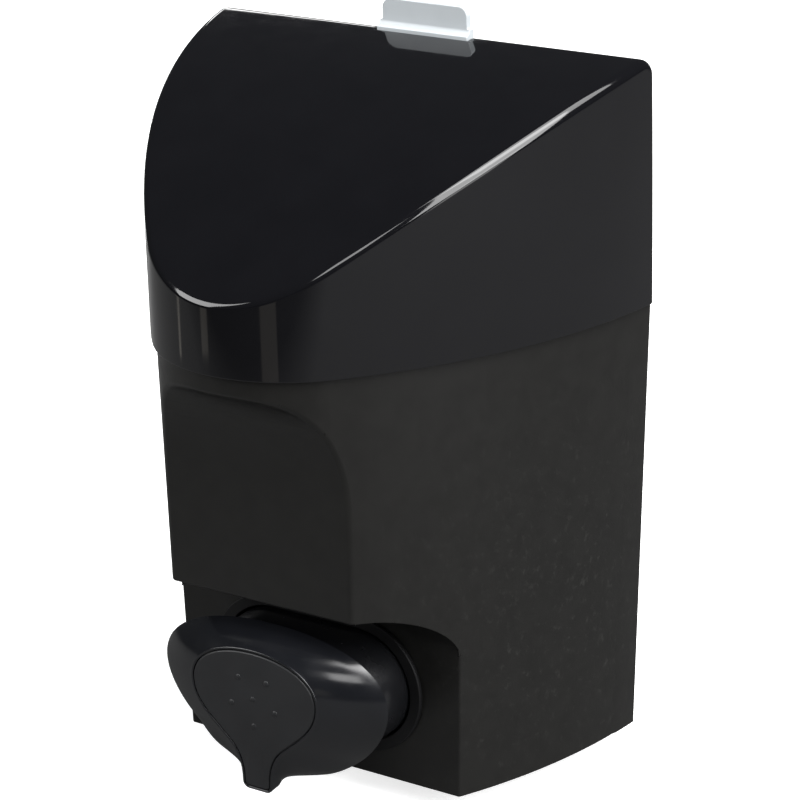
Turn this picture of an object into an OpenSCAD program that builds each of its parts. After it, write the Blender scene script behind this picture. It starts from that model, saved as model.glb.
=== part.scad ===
// Wall mounted push button soap dispenser.
// +Z is up, the front faces -Y and the wall is the plane y = 0.
// The origin is the centre of the wall plate's screw holes, on the wall.

/* [Shell] */
// Width of the lid, the widest part of the shell
shell_w = 127; // [105:1:160]
// Depth of the shell from its rear edge to its nose
shell_d = 98; // [90:1:120]
// Height from the bottom of the reservoir to the crest of the lid
shell_h = 178; // [160:1:220]
// Radius of the rounded nose, seen from above
nose_r = 35; // [28:1:42]
// Radius of the long side curves, seen from above
side_r = 145; // [125:5:200]
// Width of the reservoir at its bottom edge
bottom_w = 116; // [98:1:126]
// Height of the seam between the reservoir and the lid
seam_z = 116; // [114:1:125]
// Space between the wall and the rear edge of the shell
wall_gap = 3; // [2:0.5:5]

/* [Lid] */
// Wall thickness of the lid
lid_wall = 2.4; // [1.6:0.1:3.2]
// How far the lid stands out over the reservoir
lid_overhang = 1.25; // [0.6:0.05:1.8]
// Clearance between the lid and the rim that it sits on
lid_gap = 0.4; // [0.3:0.05:0.8]
// Drop from the crest to the front edge of the slope
slope_drop = 45; // [36:1:54]
// Bulge of the slope above its straight chord
slope_crown = 7; // [3:0.5:9]
// Radius of the crest along the rear edge
crest_r = 4.5; // [3:0.5:6]
// Height of the rim that stands up inside the lid
rim_h = 6; // [4:0.5:9]

/* [Reservoir] */
// Wall thickness of the reservoir
tank_wall = 2.4; // [1.8:0.1:3]
// Thickness of the reservoir's floor
tank_floor = 3; // [2:0.5:4]
// Depth of the hollow behind the reservoir that hides the wall plate
channel_d = 6.5; // [6.5:0.5:9]
// Distance from the shell's rear edge to the flat front facet
facet_y = 82.7; // [78:0.1:86]
// Height of the top of the facet's ledge
facet_top = 111; // [92:1:111]
// Depth of the hollow ledge over the facet
ledge_d = 15; // [10:1:18]
// Height of the ledge's curve, which is a quarter of an ellipse
ledge_h = 30; // [20:1:36]
// Width of the alcove that holds the push button
alcove_w = 84.6; // [78:0.2:90]
// Height of the alcove
alcove_h = 52.7; // [50:0.1:60]
// Radius of the alcove's upper corners
alcove_r = 15; // [8:1:20]
// Distance from the shell's rear edge to the alcove's back wall
alcove_y = 59; // [57:0.5:61]

/* [Push button] */
// Half width of the button's rim
rim_half_w = 33.5; // [29:0.5:36]
// Height of the top of the button's rim
rim_top = 45.5; // [43:0.1:47]
// Height of the beak's lower edge
beak_z = 4.5; // [3:0.5:6]
// Half width of the thumb pad
pad_half_w = 18.2; // [15:0.1:21]
// Height of the top of the thumb pad
pad_top = 41; // [38:0.5:42]
// Thickness of the thumb pad
pad_t = 1.2; // [0.8:0.1:2]
// Distance from the shell's rear edge to the face of the thumb pad
pad_y = 87.5; // [86.5:0.5:92]
// Distance from the pad's face back to the button's rim
button_rise = 9.5; // [8:0.5:11]
// Wall thickness of the button
button_wall = 2; // [1.4:0.1:2.4]
// Radius of the round ends of the button's skirt
skirt_r = 14.5; // [14:0.1:15]
// Half the distance between the skirt's round ends
skirt_half_span = 13; // [8:0.5:15]
// Wall thickness of the skirt
skirt_wall = 1.6; // [1.2:0.1:2]

/* [Pump] */
// Height of the pump's axis
pump_z = 25; // [24:0.1:26]
// Travel of the push button
stroke = 12; // [8:0.5:12.5]
// Bore radius of the pump cylinder
cylinder_bore_r = 8; // [6.5:0.1:9.6]
// Wall thickness of the pump cylinder
cylinder_wall = 2; // [1.2:0.1:2.4]
// Radius of the hollow stem
stem_r = 4; // [3.2:0.1:4.8]
// Radius of the passage through the stem
stem_bore_r = 2.2; // [1.6:0.1:2.6]
// Length of the piston
piston_len = 6; // [5:0.5:7]
// Radial clearance of a running fit
running_fit = 0.05; // [0.03:0.01:0.1]
// Radius of the inlet valve's ball
ball_r = 2.4; // [2:0.1:2.6]
// Lift of the inlet valve's ball
ball_lift = 1.8; // [1:0.1:2.2]

/* [Wall plate] */
// Width of the wall plate
plate_w = 100; // [84:1:104]
// Height of the wall plate
plate_h = 140; // [132:1:142]
// Thickness of the wall plate
plate_t = 2.5; // [1.5:0.1:2.6]
// Distance between the screw holes, side to side
screw_dx = 60; // [50:1:70]
// Distance between the screw holes, up and down
screw_dz = 90; // [80:1:100]
// Radius of the screw holes
screw_r = 2.25; // [1.5:0.05:2.75]
// Height of the screw pattern's centre above the reservoir's bottom
screw_centre_z = 95; // [90:1:98]

/* [Release catch] */
// Width of the catch's finger tab
tab_w = 25; // [20:1:28]
// Height of the finger tab above the lid
tab_h = 7.5; // [5:0.5:10]
// Thickness of the catch
catch_t = 2; // [1.6:0.1:2.4]
// Radius of the catch's pivot pin
pin_r = 1.25; // [1:0.05:1.4]
// Height of the catch's pivot
pivot_z = 120; // [118:1:124]

/* [Hidden] */
$fn = 96;
hair = 0.05;      // small overlap where two solids are joined
over = 1;         // how far a cutting solid runs past a face
loose = 0.3;      // clearance between faces that pass each other

// Sections across the shell
lid_inner = lid_wall;                        // inset of the lid's inside
rim_inset = lid_wall + lid_gap;              // inset of the rim's outside
hollow_inset = lid_overhang + tank_wall + 0.8; // inset of the reservoir's inside
taper = (shell_w - 2 * lid_overhang) / bottom_w;
panel_y = channel_d;                         // rear face of the reservoir's back
panel_top = shell_h - lid_wall - 3.5;
plate_front = wall_gap - plate_t;            // front face of the wall plate

// Lengths along the pump, all measured forwards from the shell's rear edge
skirt_in = 1.5;                              // skirt's engagement in the well at rest
well_clear = 1.5;
well_y = alcove_y - skirt_in - stroke - well_clear;
gasket_t = 1;
flange_t = 2;
flange_r = cylinder_bore_r + cylinder_wall + 2;
cap_t = 3;
flange_y = well_y + gasket_t + flange_t;     // front face of the cylinder's flange
cap_y = flange_y + cap_t;
collar_t = 2.5;
collar_r = cylinder_bore_r - 0.1;
seal_t = 2;
seal_r = stem_r + 2;
piston_front = flange_y - collar_t - loose;
piston_rear = piston_front - piston_len;
piston_r = cylinder_bore_r - loose;
inlet_bore_r = ball_r + 0.8;
inlet_wall = 1.6;
inlet_y = piston_rear - stroke - 2 - inlet_bore_r;
cylinder_end = inlet_y - inlet_bore_r - 1;   // inside of the closed end
inlet_bottom = 6.5;
seat_h = 2.5;
seat_hole_r = 1.4;
seat_top = inlet_bottom + seat_h;
ball_z = seat_top + sqrt(ball_r * ball_r - seat_hole_r * seat_hole_r) + hair;
cage_z = ball_z + ball_r + ball_lift + loose;
nut_t = 5;

// The button and what rides on it
button_face = pad_y - 0.4;                   // front edge of the button's shell
pocket_floor = pad_y - pad_t;
shell_inner = pocket_floor - button_wall;    // inside of the button's front wall
rim_y = pad_y - button_rise;
beak_y = pad_y - 2.5;
skirt_rear = alcove_y - skirt_in;
socket_rear = rim_y - 4;
socket_r = stem_r + 2.2;
leg_r = 3;
leg_bore_r = 1.9;
valve_wall = 0.5;
leg_y = shell_inner - leg_r - valve_wall - loose;
leg_end = 12;
skirt_front = leg_y - leg_r - valve_wall - 0.2; // behind the spout's valve
stem_front = leg_y - leg_bore_r - 0.2;
screw_z = pump_z + socket_r + 1.5;
button_screw_r = 1.5;
head_r = 2.9;
head_t = 0.8;
screw_len = 5;                               // below the button's shell

// The guide ring in the mouth of the pump well
guide_gap = 0.6;
guide_wall = 1.5;
guide_len = 9;
guide_lip = 1.4;
well_r = skirt_r + guide_gap + guide_wall + 0.1;

// The catch
catch_y = 3.2;                               // pivot axis, forward of the rear edge
barrel_r = 2.4;
blade_back = 2;
blade_front = blade_back + catch_t;
tab_top = shell_h + tab_h;
foot_y = blade_front + 1.5;
notch_y = foot_y + 0.5;
notch_side = 1.4;
nose_z = pivot_z + 38;
nose_tip = panel_y - loose;
lug_reach = 1.6;
lug_tip = panel_y - lug_reach;
lug_h = 4.3;
nose_gap = 0.2;

// Hooks on the wall plate and the hangers that drop over them
hook_x = 38;
hook_w = 10;
hook_rows = [28, 66];
hook_t = 3;
hook_lip = 6;
hook_reach = 5;
hook_lip_t = 1.8;
hanger_gap = 0.8;    // between a hanger and the plate

// ---------- helpers ----------

// Puts what is measured from the shell's rear bottom edge into the wall's frame.
module on_wall() {
    translate([0, -wall_gap, -screw_centre_z]) children();
}

// A cylinder along the pump's axis, from y0 back to y1, both measured forwards.
module along_y(r, y0, y1, x = 0, z = pump_z) {
    translate([x, -y0, z]) rotate([-90, 0, 0]) cylinder(r = r, h = y0 - y1);
}

// A side profile drawn as [forward distance, height], extruded across x0 to x1.
module across(x0, x1) {
    translate([x1, 0, 0]) rotate([90, 0, -90]) linear_extrude(x1 - x0) children();
}

// A front profile drawn as [x, z], extruded from y0 back to y1.
module front_to_back(y0, y1) {
    translate([0, -y1, 0]) rotate([90, 0, 0]) linear_extrude(y0 - y1) children();
}

function mix(a, b, t) = a + (b - a) * t;
function bezier(a, b, c, d, t) =
    pow(1 - t, 3) * a + 3 * t * pow(1 - t, 2) * b + 3 * t * t * (1 - t) * c + t * t * t * d;
function arc(cx, cy, r, a0, a1, n = 12) =
    [for (i = [0:n]) [cx + r * cos(mix(a0, a1, i / n)), cy + r * sin(mix(a0, a1, i / n))]];

// ---------- the shell seen from above ----------

nose_y = -(shell_d - nose_r);
chord = norm([shell_w / 2, -nose_y]);
chord_t = (pow(side_r, 2) - pow(side_r - nose_r, 2) + chord * chord) / (2 * chord);
chord_h = sqrt(side_r * side_r - chord_t * chord_t);
// Centre of the right side's arc, which runs into the nose with no corner
side_c = [shell_w / 2 + (-shell_w / 2 * chord_t - -nose_y * chord_h) / chord,
          (nose_y * chord_t + shell_w / 2 * chord_h) / chord];
blend_dir = ([0, nose_y] - side_c) / norm([0, nose_y] - side_c);

// The shell's outline, moved inwards, and cut off at y = -rear.
module plan(inset = 0, rear = 0, steps = 360) {
    blend_y = side_c.y + (side_r - inset) * blend_dir.y;
    intersection() {
        translate(side_c) circle(side_r - inset, $fn = steps);
        mirror([1, 0]) translate(side_c) circle(side_r - inset, $fn = steps);
        translate([-shell_w, blend_y]) square([2 * shell_w, -blend_y - rear]);
    }
    translate([0, nose_y]) circle(nose_r - inset);
}

// A block with the shell's outline that narrows towards its bottom edge.
module tapered(inset, rear) {
    linear_extrude(seam_z, scale = [taper, 1], slices = 1)
        scale([1 / taper, 1]) plan(inset, rear, 120);
}

// ---------- reservoir ----------

module facet_cut(grow = 0) {
    depth = ledge_d + grow;
    height = ledge_h + grow;
    far = shell_d + 10;
    back = facet_y - grow;
    top = facet_top + grow;
    across(-shell_w / 2, shell_w / 2) polygon(concat(
        [[far, -over], [back, -over]],
        [for (i = [0:16]) [back + depth * (1 - cos(i * 90 / 16)), top - height * (1 - sin(i * 90 / 16))]],
        [[far, top]]));
}

module alcove_cut(grow = 0) {
    half = alcove_w / 2 + grow;
    top = alcove_h + grow;
    r = alcove_r + grow;
    front_to_back(shell_d + over, alcove_y - grow) {
        translate([-half, -over]) square([2 * half, top - r + over]);
        translate([r - half, -over]) square([2 * (half - r), top + over]);
        for (s = [-1, 1]) translate([s * (half - r), top - r]) circle(r);
    }
}

// A solid with flat top and bottom and round ends, along the pump's axis.
module oval(r, y0, y1) {
    front_to_back(y0, y1) translate([0, pump_z]) {
        translate([-skirt_half_span, -r]) square([2 * skirt_half_span, 2 * r]);
        for (s = [-1, 1]) translate([s * skirt_half_span, 0]) circle(r);
    }
}

module tank_hollow() {
    difference() {
        union() {
            tapered(hollow_inset, panel_y + tank_wall);
            translate([0, 0, seam_z - over])
                linear_extrude(rim_h + 2 * over) plan(hollow_inset + 0.3, panel_y + tank_wall + 0.3);
        }
        facet_cut(tank_wall);
        alcove_cut(tank_wall);
        oval(well_r + tank_wall, alcove_y + over, well_y - tank_wall);
        translate([-shell_w, -shell_d - over, -over])
            cube([2 * shell_w, shell_d + 2 * over, tank_floor + over]);
    }
}

// A hanger drops over a hook's lip, so the reservoir lifts off upwards.
module hanger(z) {
    top = z + hook_t + hook_lip + loose / 3;
    polygon([[panel_y + hair, top], [panel_y + hair, top + hook_t],
             [plate_front + hanger_gap, top + hook_t], [plate_front + hanger_gap, z + hook_t + loose],
             [hook_reach - hook_lip_t - loose, z + hook_t + loose],
             [hook_reach - hook_lip_t - loose, top]]);
}

module reservoir() {
    cheek = 4;                               // width of the sides beside the hollow
    recess = bottom_w / 2 - cheek;
    panel_half = shell_w / 2 - rim_inset - loose;
    lug_half = 7;
    lug_top = nose_z - nose_gap;
    color("#202124") on_wall() difference() {
        union() {
            difference() {
                tapered(lid_overhang, 0);
                translate([-recess, -panel_y, -over]) cube([2 * recess, panel_y + over, seam_z + 2 * over]);
            }
            translate([0, 0, seam_z - hair]) linear_extrude(rim_h + hair) plan(rim_inset, panel_y);
            intersection() {
                translate([-panel_half, -panel_y - tank_wall, seam_z - hair])
                    cube([2 * panel_half, tank_wall, panel_top - seam_z]);
                linear_extrude(shell_h) plan(rim_inset, panel_y);
            }
            for (row = hook_rows, s = [-1, 1])
                across(s * hook_x - hook_w / 2, s * hook_x + hook_w / 2) hanger(row);
            // the lug that the catch's nose stands over
            across(-lug_half, lug_half) polygon([
                [panel_y + hair, lug_top - lug_h], [panel_y + hair, lug_top],
                [lug_tip, lug_top], [lug_tip, lug_top - lug_h + lug_reach]]);
        }
        tank_hollow();
        facet_cut();
        alcove_cut();
        oval(well_r, alcove_y + over, well_y);
        along_y(cylinder_bore_r + cylinder_wall + 0.2, well_y + over, well_y - tank_wall - over);
    }
}

// ---------- lid ----------

// The slope is one arc of a circle, and the crest's arc meets it with no corner.
slope_chord = norm([shell_d - crest_r, slope_drop]);
slope_r = (pow(slope_chord / 2, 2) + slope_crown * slope_crown) / (2 * slope_crown);
slope_half = asin(slope_chord / 2 / slope_r);
slope_start = 90 - atan(slope_drop / (shell_d - crest_r)) + slope_half;
crest_c = [crest_r, shell_h - crest_r];
// Centre of the slope's arc, as [forward, height]
slope_c = crest_c + (crest_r - slope_r) * [cos(slope_start), sin(slope_start)];

// The lid seen from the side, from its rear lip over the crest and down the slope.
module lid_profile(inset = 0) {
    bottom = seam_z - (inset > 0 ? over : 0);
    front = shell_d + 8;
    r = slope_r - inset;
    end = acos((front - slope_c.x) / r);
    polygon(concat(
        [[front, bottom], [min(inset, crest_r), bottom]],
        arc(crest_c.x, crest_c.y, max(crest_r - inset, 0.2), 180, slope_start, 8),
        arc(slope_c.x, slope_c.y, r, slope_start - 0.5, end, 24)));
}

module lid() {
    notch_half = tab_w / 2 + notch_side;
    rear_lip = 5;
    lip_bottom = shell_h - crest_r - rear_lip;
    color("#0b0b0d") on_wall() difference() {
        intersection() {
            linear_extrude(shell_h + over) plan();
            across(-shell_w / 2, shell_w / 2) lid_profile();
        }
        intersection() {
            translate([0, 0, -over]) linear_extrude(shell_h + over) plan(lid_inner, -over);
            across(-shell_w / 2, shell_w / 2) lid_profile(lid_inner);
        }
        // open at the rear below the crest's lip
        intersection() {
            translate([0, 0, seam_z - over]) linear_extrude(lip_bottom - seam_z) plan(lid_inner, -over);
            translate([-shell_w / 2, -crest_r - over, seam_z - over])
                cube([shell_w, crest_r + 2 * over, lip_bottom - seam_z]);
        }
        // notch round the catch's finger tab
        translate([-notch_half, -notch_y, lip_bottom - 2 * over])
            cube([2 * notch_half, notch_y + over, shell_h - lip_bottom + 3 * over]);
    }
}

// ---------- wall plate and catch ----------

module hook(z) {
    polygon([[plate_front - hair, z], [hook_reach, z], [hook_reach, z + hook_t + hook_lip],
             [hook_reach - hook_lip_t, z + hook_t + hook_lip], [hook_reach - hook_lip_t, z + hook_t],
             [plate_front - hair, z + hook_t]]);
}

module wall_plate() {
    bottom = 10;
    r = 6;
    lug_x = tab_w / 2 + 2;                   // the two lugs that hold the pin
    lug_w = 3;
    color("#b9bdc2") on_wall() difference() {
        union() {
            front_to_back(plate_front, -wall_gap) {
                translate([-plate_w / 2, bottom + r]) square([plate_w, plate_h - 2 * r]);
                translate([r - plate_w / 2, bottom]) square([plate_w - 2 * r, plate_h]);
                for (x = [-1, 1], z = [0, 1])
                    translate([x * (plate_w / 2 - r), bottom + r + z * (plate_h - 2 * r)]) circle(r);
            }
            for (row = hook_rows, s = [-1, 1])
                across(s * hook_x - hook_w / 2, s * hook_x + hook_w / 2) hook(row);
            for (s = [-1, 1])
                across(s * (lug_x + lug_w / 2) - lug_w / 2, s * (lug_x + lug_w / 2) + lug_w / 2) {
                    translate([plate_front - hair, pivot_z - barrel_r])
                        square([catch_y - plate_front, 2 * barrel_r]);
                    translate([catch_y, pivot_z]) circle(barrel_r);
                }
        }
        for (x = [-1, 1], z = [-1, 1])
            along_y(screw_r, plate_front + over, -wall_gap - over,
                    x * screw_dx / 2, screw_centre_z + z * screw_dz / 2);
        translate([-shell_w / 2, -catch_y, pivot_z]) rotate([0, 90, 0]) cylinder(r = pin_r, h = shell_w);
    }
}

module catch_pin() {
    half = tab_w / 2 + 5.5;                  // it stands out past both lugs
    color("#c9ccd0") on_wall() translate([-half, -catch_y, pivot_z])
        rotate([0, 90, 0]) cylinder(r = pin_r, h = 2 * half);
}

module catch_lever() {
    half = tab_w / 2;
    barrel_half = half + 1.4;
    corner = 2.5;
    foot_top = shell_h + 2;
    foot_bottom = shell_h - 6;
    foot_half = half + 0.8;
    nose_half = 6;
    nose_edge = 1.2;
    nose_h = 7;
    nose_root = blade_back + 0.5;
    color("#c2c5ca") on_wall() difference() {
        union() {
            // barrel on the pin
            translate([-barrel_half, -catch_y, pivot_z]) rotate([0, 90, 0])
                cylinder(r = barrel_r, h = 2 * barrel_half);
            // blade, with the finger tab's corners rounded
            front_to_back(blade_front, blade_back) {
                translate([-half, pivot_z]) square([2 * half, tab_top - corner - pivot_z]);
                translate([corner - half, pivot_z]) square([2 * (half - corner), tab_top - pivot_z]);
                for (s = [-1, 1]) translate([s * (half - corner), tab_top - corner]) circle(corner);
            }
            // the foot swells forwards and sideways where it fills the lid's notch
            across(-foot_half, foot_half) difference() {
                translate([blade_back, foot_bottom]) square([foot_y - blade_back, foot_top - foot_bottom]);
                translate([foot_y, foot_top]) circle(foot_y - blade_front);
            }
            // nose over the reservoir's lug
            across(-nose_half, nose_half) polygon([
                [nose_root, nose_z], [nose_tip, nose_z],
                [nose_tip, nose_z + nose_edge], [nose_root, nose_z + nose_h]]);
        }
        translate([-shell_w / 2, -catch_y, pivot_z]) rotate([0, 90, 0])
            cylinder(r = pin_r + running_fit, h = shell_w);
    }
}

// A leaf spring screwed flat to the plate and bowed out to the back of the blade.
module catch_spring() {
    t = 0.35;
    half_w = 4;
    foot = pivot_z + 8;
    bend = pivot_z + 14;
    tip = pivot_z + 25;
    touch = blade_back - hair;
    color("#d4d6d9") on_wall() across(-half_w, half_w) polygon([
        [plate_front, foot], [plate_front + t, foot], [plate_front + t, bend],
        [touch, tip], [touch - t, tip + t], [plate_front, bend + t / 2]]);
}

// ---------- pump, fixed parts ----------

module button_guide() {
    color("#17181a") on_wall() difference() {
        union() {
            oval(skirt_r + guide_gap + guide_wall, alcove_y, alcove_y - guide_len);
            oval(well_r + 1.5, alcove_y + guide_lip, alcove_y);
        }
        oval(skirt_r + guide_gap, alcove_y + guide_lip + over, alcove_y - guide_len - over);
    }
}

module pump_cylinder() {
    outer = cylinder_bore_r + cylinder_wall;
    inlet_outer = inlet_bore_r + inlet_wall;
    color("#d9dadb") on_wall() difference() {
        union() {
            along_y(outer, flange_y, cylinder_end - cylinder_wall);
            along_y(flange_r, flange_y, flange_y - flange_t);
            translate([0, -inlet_y, inlet_bottom]) cylinder(r = inlet_outer, h = pump_z - inlet_bottom);
        }
        along_y(cylinder_bore_r, flange_y + over, cylinder_end);
        translate([0, -inlet_y, inlet_bottom - over])
            cylinder(r = inlet_bore_r, h = cage_z - inlet_bottom + over);
        translate([0, -inlet_y, inlet_bottom]) cylinder(r = ball_r - 0.6, h = pump_z - inlet_bottom);
    }
}

module cylinder_cap() {
    color("#cfd1d3") on_wall() difference() {
        union() {
            along_y(flange_r - 1, cap_y, flange_y);
            along_y(collar_r, flange_y + hair, flange_y - collar_t);
        }
        along_y(stem_r + running_fit, cap_y + over, flange_y - collar_t - over);
        along_y(seal_r, flange_y - collar_t + seal_t, flange_y - collar_t - over);
    }
}

module stem_seal() {
    color("#3a3a3c") on_wall() difference() {
        along_y(seal_r, flange_y - collar_t + seal_t, flange_y - collar_t);
        along_y(stem_r + running_fit / 2, flange_y + over, flange_y - collar_t - over);
    }
}

module flange_gasket() {
    color("#4a4b4d") on_wall() difference() {
        along_y(flange_r, well_y + gasket_t, well_y);
        along_y(cylinder_bore_r + cylinder_wall + 0.1, well_y + gasket_t + over, well_y - over);
    }
}

module lock_nut() {
    inner = well_y - tank_wall;
    outer = cylinder_bore_r + cylinder_wall;
    color("#dcdddd") on_wall() difference() {
        translate([0, -inner, pump_z]) rotate([-90, 0, 0]) cylinder(r = outer + 4, h = nut_t, $fn = 6);
        along_y(outer + running_fit, inner + over, inner - nut_t - over);
    }
}

module inlet_seat() {
    color("#e1e1df") on_wall() difference() {
        translate([0, -inlet_y, inlet_bottom]) cylinder(r = inlet_bore_r, h = seat_h);
        translate([0, -inlet_y, inlet_bottom - over]) cylinder(r = seat_hole_r, h = seat_h + 2 * over);
    }
}

module inlet_ball() {
    color("#c4c8cc") on_wall() translate([0, -inlet_y, ball_z]) sphere(ball_r);
}

// A cup with slots in its floor that keeps grit out of the inlet.
module inlet_strainer() {
    inner = inlet_bore_r + inlet_wall + hair;
    top = inlet_bottom + 2;
    bottom = tank_floor + 0.8;
    t = 1.2;
    slot = [0.7, 6];
    pitch = 1.5;
    color("#e6e6e2") on_wall() difference() {
        translate([0, -inlet_y, bottom]) cylinder(r = inner + t, h = top - bottom);
        translate([0, -inlet_y, bottom + t]) cylinder(r = inner, h = top);
        for (i = [-2:2])
            translate([i * pitch - slot.x / 2, -inlet_y - slot.y / 2, bottom - over])
                cube([slot.x, slot.y, t + 2 * over]);
    }
}

// ---------- pump, moving parts ----------

module pump_stem() {
    color("#dedfe0") on_wall() difference() {
        along_y(stem_r, stem_front, piston_rear + 1.5);
        along_y(stem_bore_r, stem_front + over, piston_rear);
    }
}

module piston() {
    groove = 1.2;
    color("#e4e4e4") on_wall() difference() {
        along_y(piston_r, piston_front, piston_rear);
        along_y(stem_r, piston_front + over, piston_rear + 1.5);
        along_y(stem_bore_r, piston_front, piston_rear - over);
        difference() {
            along_y(piston_r + over, piston_front - 1.5, piston_rear + 1.5);
            along_y(piston_r - groove, piston_front, piston_rear);
        }
    }
}

module piston_seal() {
    groove = 1.2;
    color("#39393b") on_wall() difference() {
        along_y(cylinder_bore_r - running_fit, piston_front - 1.5, piston_rear + 1.5);
        along_y(piston_r - groove, piston_front, piston_rear);
    }
}

// A coil of round wire swept along a helix, with its ends flattened against the seats.
module return_spring() {
    wire = 0.5;
    mean = stem_r + 1.4;
    turns = 6;
    steps = turns * 20;
    sides = 6;
    y0 = cap_y + wire;
    y1 = socket_rear - wire;
    rings = [for (i = [0:steps]) let (a = i * 18, y = mix(y0, y1, i / steps))
        [for (j = [0:sides - 1]) let (b = j * 360 / sides, r = mean + wire * cos(b))
            [r * cos(a), -y - wire * sin(b), pump_z + r * sin(a)]]];
    points = [for (ring = rings) each ring];
    walls = [for (i = [0:steps - 1], j = [0:sides - 1]) let (k = (j + 1) % sides)
        [i * sides + j, i * sides + k, (i + 1) * sides + k, (i + 1) * sides + j]];
    color("#b8bcc0") on_wall() polyhedron(points, concat(
        walls, [[for (j = [sides - 1:-1:0]) j]], [[for (j = [0:sides - 1]) steps * sides + j]]));
}

// ---------- push button ----------

// Right half of an inverted teardrop, from its top to its beak, as [x, z].
function rim_half() = let (w = rim_half_w, t = rim_top, b = beak_z, neck = 4.8) concat(
    [for (i = [0:7]) bezier([0, t], [w * 0.6, t], [w, t - 6], [w, t - 16], i / 8)],
    [for (i = [0:7]) bezier([w, t - 16], [w, t - 24], [w * 0.75, b + 7.5], [w / 2, b + 5], i / 8)],
    [for (i = [0:6]) bezier([w / 2, b + 5], [w * 0.28, b + 3], [neck + 0.4, b + 3], [neck, b], i / 6)]);
function pad_half() = let (w = pad_half_w, t = pad_top, b = beak_z, neck = 3.6) concat(
    [for (i = [0:7]) bezier([0, t], [w * 0.57, t], [w, t - 4], [w, t - 10.5], i / 8)],
    [for (i = [0:7]) bezier([w, t - 10.5], [w, t - 18], [w * 0.54, b + 14.5], [w / 3, b + 10], i / 8)],
    [for (i = [0:6]) bezier([w / 3, b + 10], [w * 0.22, b + 7], [neck, b + 4], [neck, b], i / 6)]);
function whole(half) = concat(
    half, [for (i = [len(half) - 1:-1:1]) [-half[i].x, half[i].y]]);

// Moves each point of a closed clockwise outline inwards.
function inwards(pts, d) = let (n = len(pts)) [for (i = [0:n - 1])
    let (t = pts[(i + 1) % n] - pts[(i + n - 1) % n], u = t / norm(t)) pts[i] + d * [u.y, -u.x]];

// How far forward the rim lies at a height: it runs forward into the beak.
function rim_forward(z) = mix(rim_y, beak_y, pow(max(0, min(1, (beak_z + 9.5 - z) / 9.5)), 1.5));

// Rings from the rim forwards to the front edge. inset draws them in, for the shell's inside.
function button_rings(inset, front) = let (
    steps = 8, bulge = 0.6,
    rim = inwards(whole(rim_half()), inset),
    pad = inwards(whole(pad_half()), inset - 0.9))
    [for (k = [0:steps]) let (t = k / steps,
        s = mix(t, 1 - cos(90 * t), bulge), c = mix(t, sin(90 * t), bulge))
        [for (i = [0:len(rim) - 1]) let (p = mix(rim[i], pad[i], s))
            [p.x, -mix(rim_forward(rim[i].y), front, c), p.y]]];

// One closed skin: from the front edge back to the rim, then forwards along the inside.
module button_skin() {
    outside = button_rings(0, button_face);
    rings = concat([for (k = [len(outside) - 1:-1:0]) outside[k]], button_rings(button_wall, shell_inner));
    n = len(rings[0]);
    last = len(rings) - 1;
    walls = [for (k = [0:last - 1], i = [0:n - 1]) let (j = (i + 1) % n)
        each [[k * n + i, (k + 1) * n + i, (k + 1) * n + j], [k * n + i, (k + 1) * n + j, k * n + j]]];
    polyhedron([for (ring = rings) each ring],
        concat(walls, [[for (i = [0:n - 1]) i]], [[for (i = [n - 1:-1:0]) last * n + i]]));
}

module push_button() {
    post_r = 2;                              // posts between the shell and the skirt
    post_x = socket_r + 5;
    color("#1d1f24") on_wall() difference() {
        union() {
            button_skin();
            for (s = [-1, 1])
                along_y(post_r, shell_inner + button_wall / 2, skirt_front, s * post_x);
        }
        // pocket for the thumb pad
        front_to_back(button_face + over, pocket_floor)
            polygon(inwards(whole(pad_half()), -0.15));
        along_y(button_screw_r + 0.2, button_face + over, shell_inner - over, 0, screw_z);
        along_y(head_r + loose, button_face + over, pocket_floor - head_t, 0, screw_z);
    }
}

module thumb_pad() {
    dot_r = 0.9;
    color("#26272a") on_wall() {
        front_to_back(pad_y - 0.3, pocket_floor) polygon(whole(pad_half()));
        for (p = [[4.2, pad_top - 7], [-4.2, pad_top - 7], [6.5, pad_top - 14.5],
                  [-6.5, pad_top - 14.5], [0, pad_top - 12.2], [0, pad_top - 19.5]])
            along_y(dot_r, pad_y, pad_y - 1, p.x, p.y);
    }
}

module button_skirt() {
    color("#1a1b1e") on_wall() difference() {
        oval(skirt_r, skirt_front, skirt_rear);
        oval(skirt_r - skirt_wall, skirt_front - skirt_wall, skirt_rear - over);
        along_y(socket_r + 0.1, skirt_front + over, skirt_front - skirt_wall - over);
    }
}

module spout() {
    boss_r = 3;
    boss_len = 6;
    color("#d6d8da") on_wall() difference() {
        union() {
            along_y(socket_r, shell_inner, socket_rear);
            translate([0, -leg_y, leg_end]) cylinder(r = leg_r, h = pump_z - leg_end);
            // boss for the button's screw
            along_y(boss_r, shell_inner, shell_inner - boss_len, 0, screw_z);
            translate([-boss_r, -shell_inner, pump_z]) cube([2 * boss_r, boss_len, screw_z - pump_z]);
        }
        along_y(stem_r, stem_front, socket_rear - over);
        along_y(stem_bore_r, leg_y, stem_front - over);
        translate([0, -leg_y, leg_end - over]) cylinder(r = leg_bore_r, h = pump_z - leg_end + over);
        along_y(button_screw_r, shell_inner + over, shell_inner - screw_len, 0, screw_z);
    }
}

// A soft duckbill pushed over the end of the spout.
module nozzle_valve() {
    sleeve_h = 4;
    base_t = 1;
    bill = [3.2, 1.8, 2.5];
    slit = [2.4, 0.3];
    bill_z = leg_end - base_t - bill.z + 0.5;
    color("#c8c9c6") on_wall() difference() {
        union() {
            translate([0, -leg_y, leg_end - base_t]) cylinder(r = leg_r + valve_wall, h = sleeve_h);
            translate([-bill.x / 2, -leg_y - bill.y / 2, bill_z]) cube(bill);
        }
        translate([0, -leg_y, leg_end]) cylinder(r = leg_r + running_fit / 2, h = sleeve_h);
        translate([-slit.x / 2, -leg_y - slit.y / 2, bill_z - over])
            cube([slit.x, slit.y, leg_end - bill_z + 2 * over]);
    }
}

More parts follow.
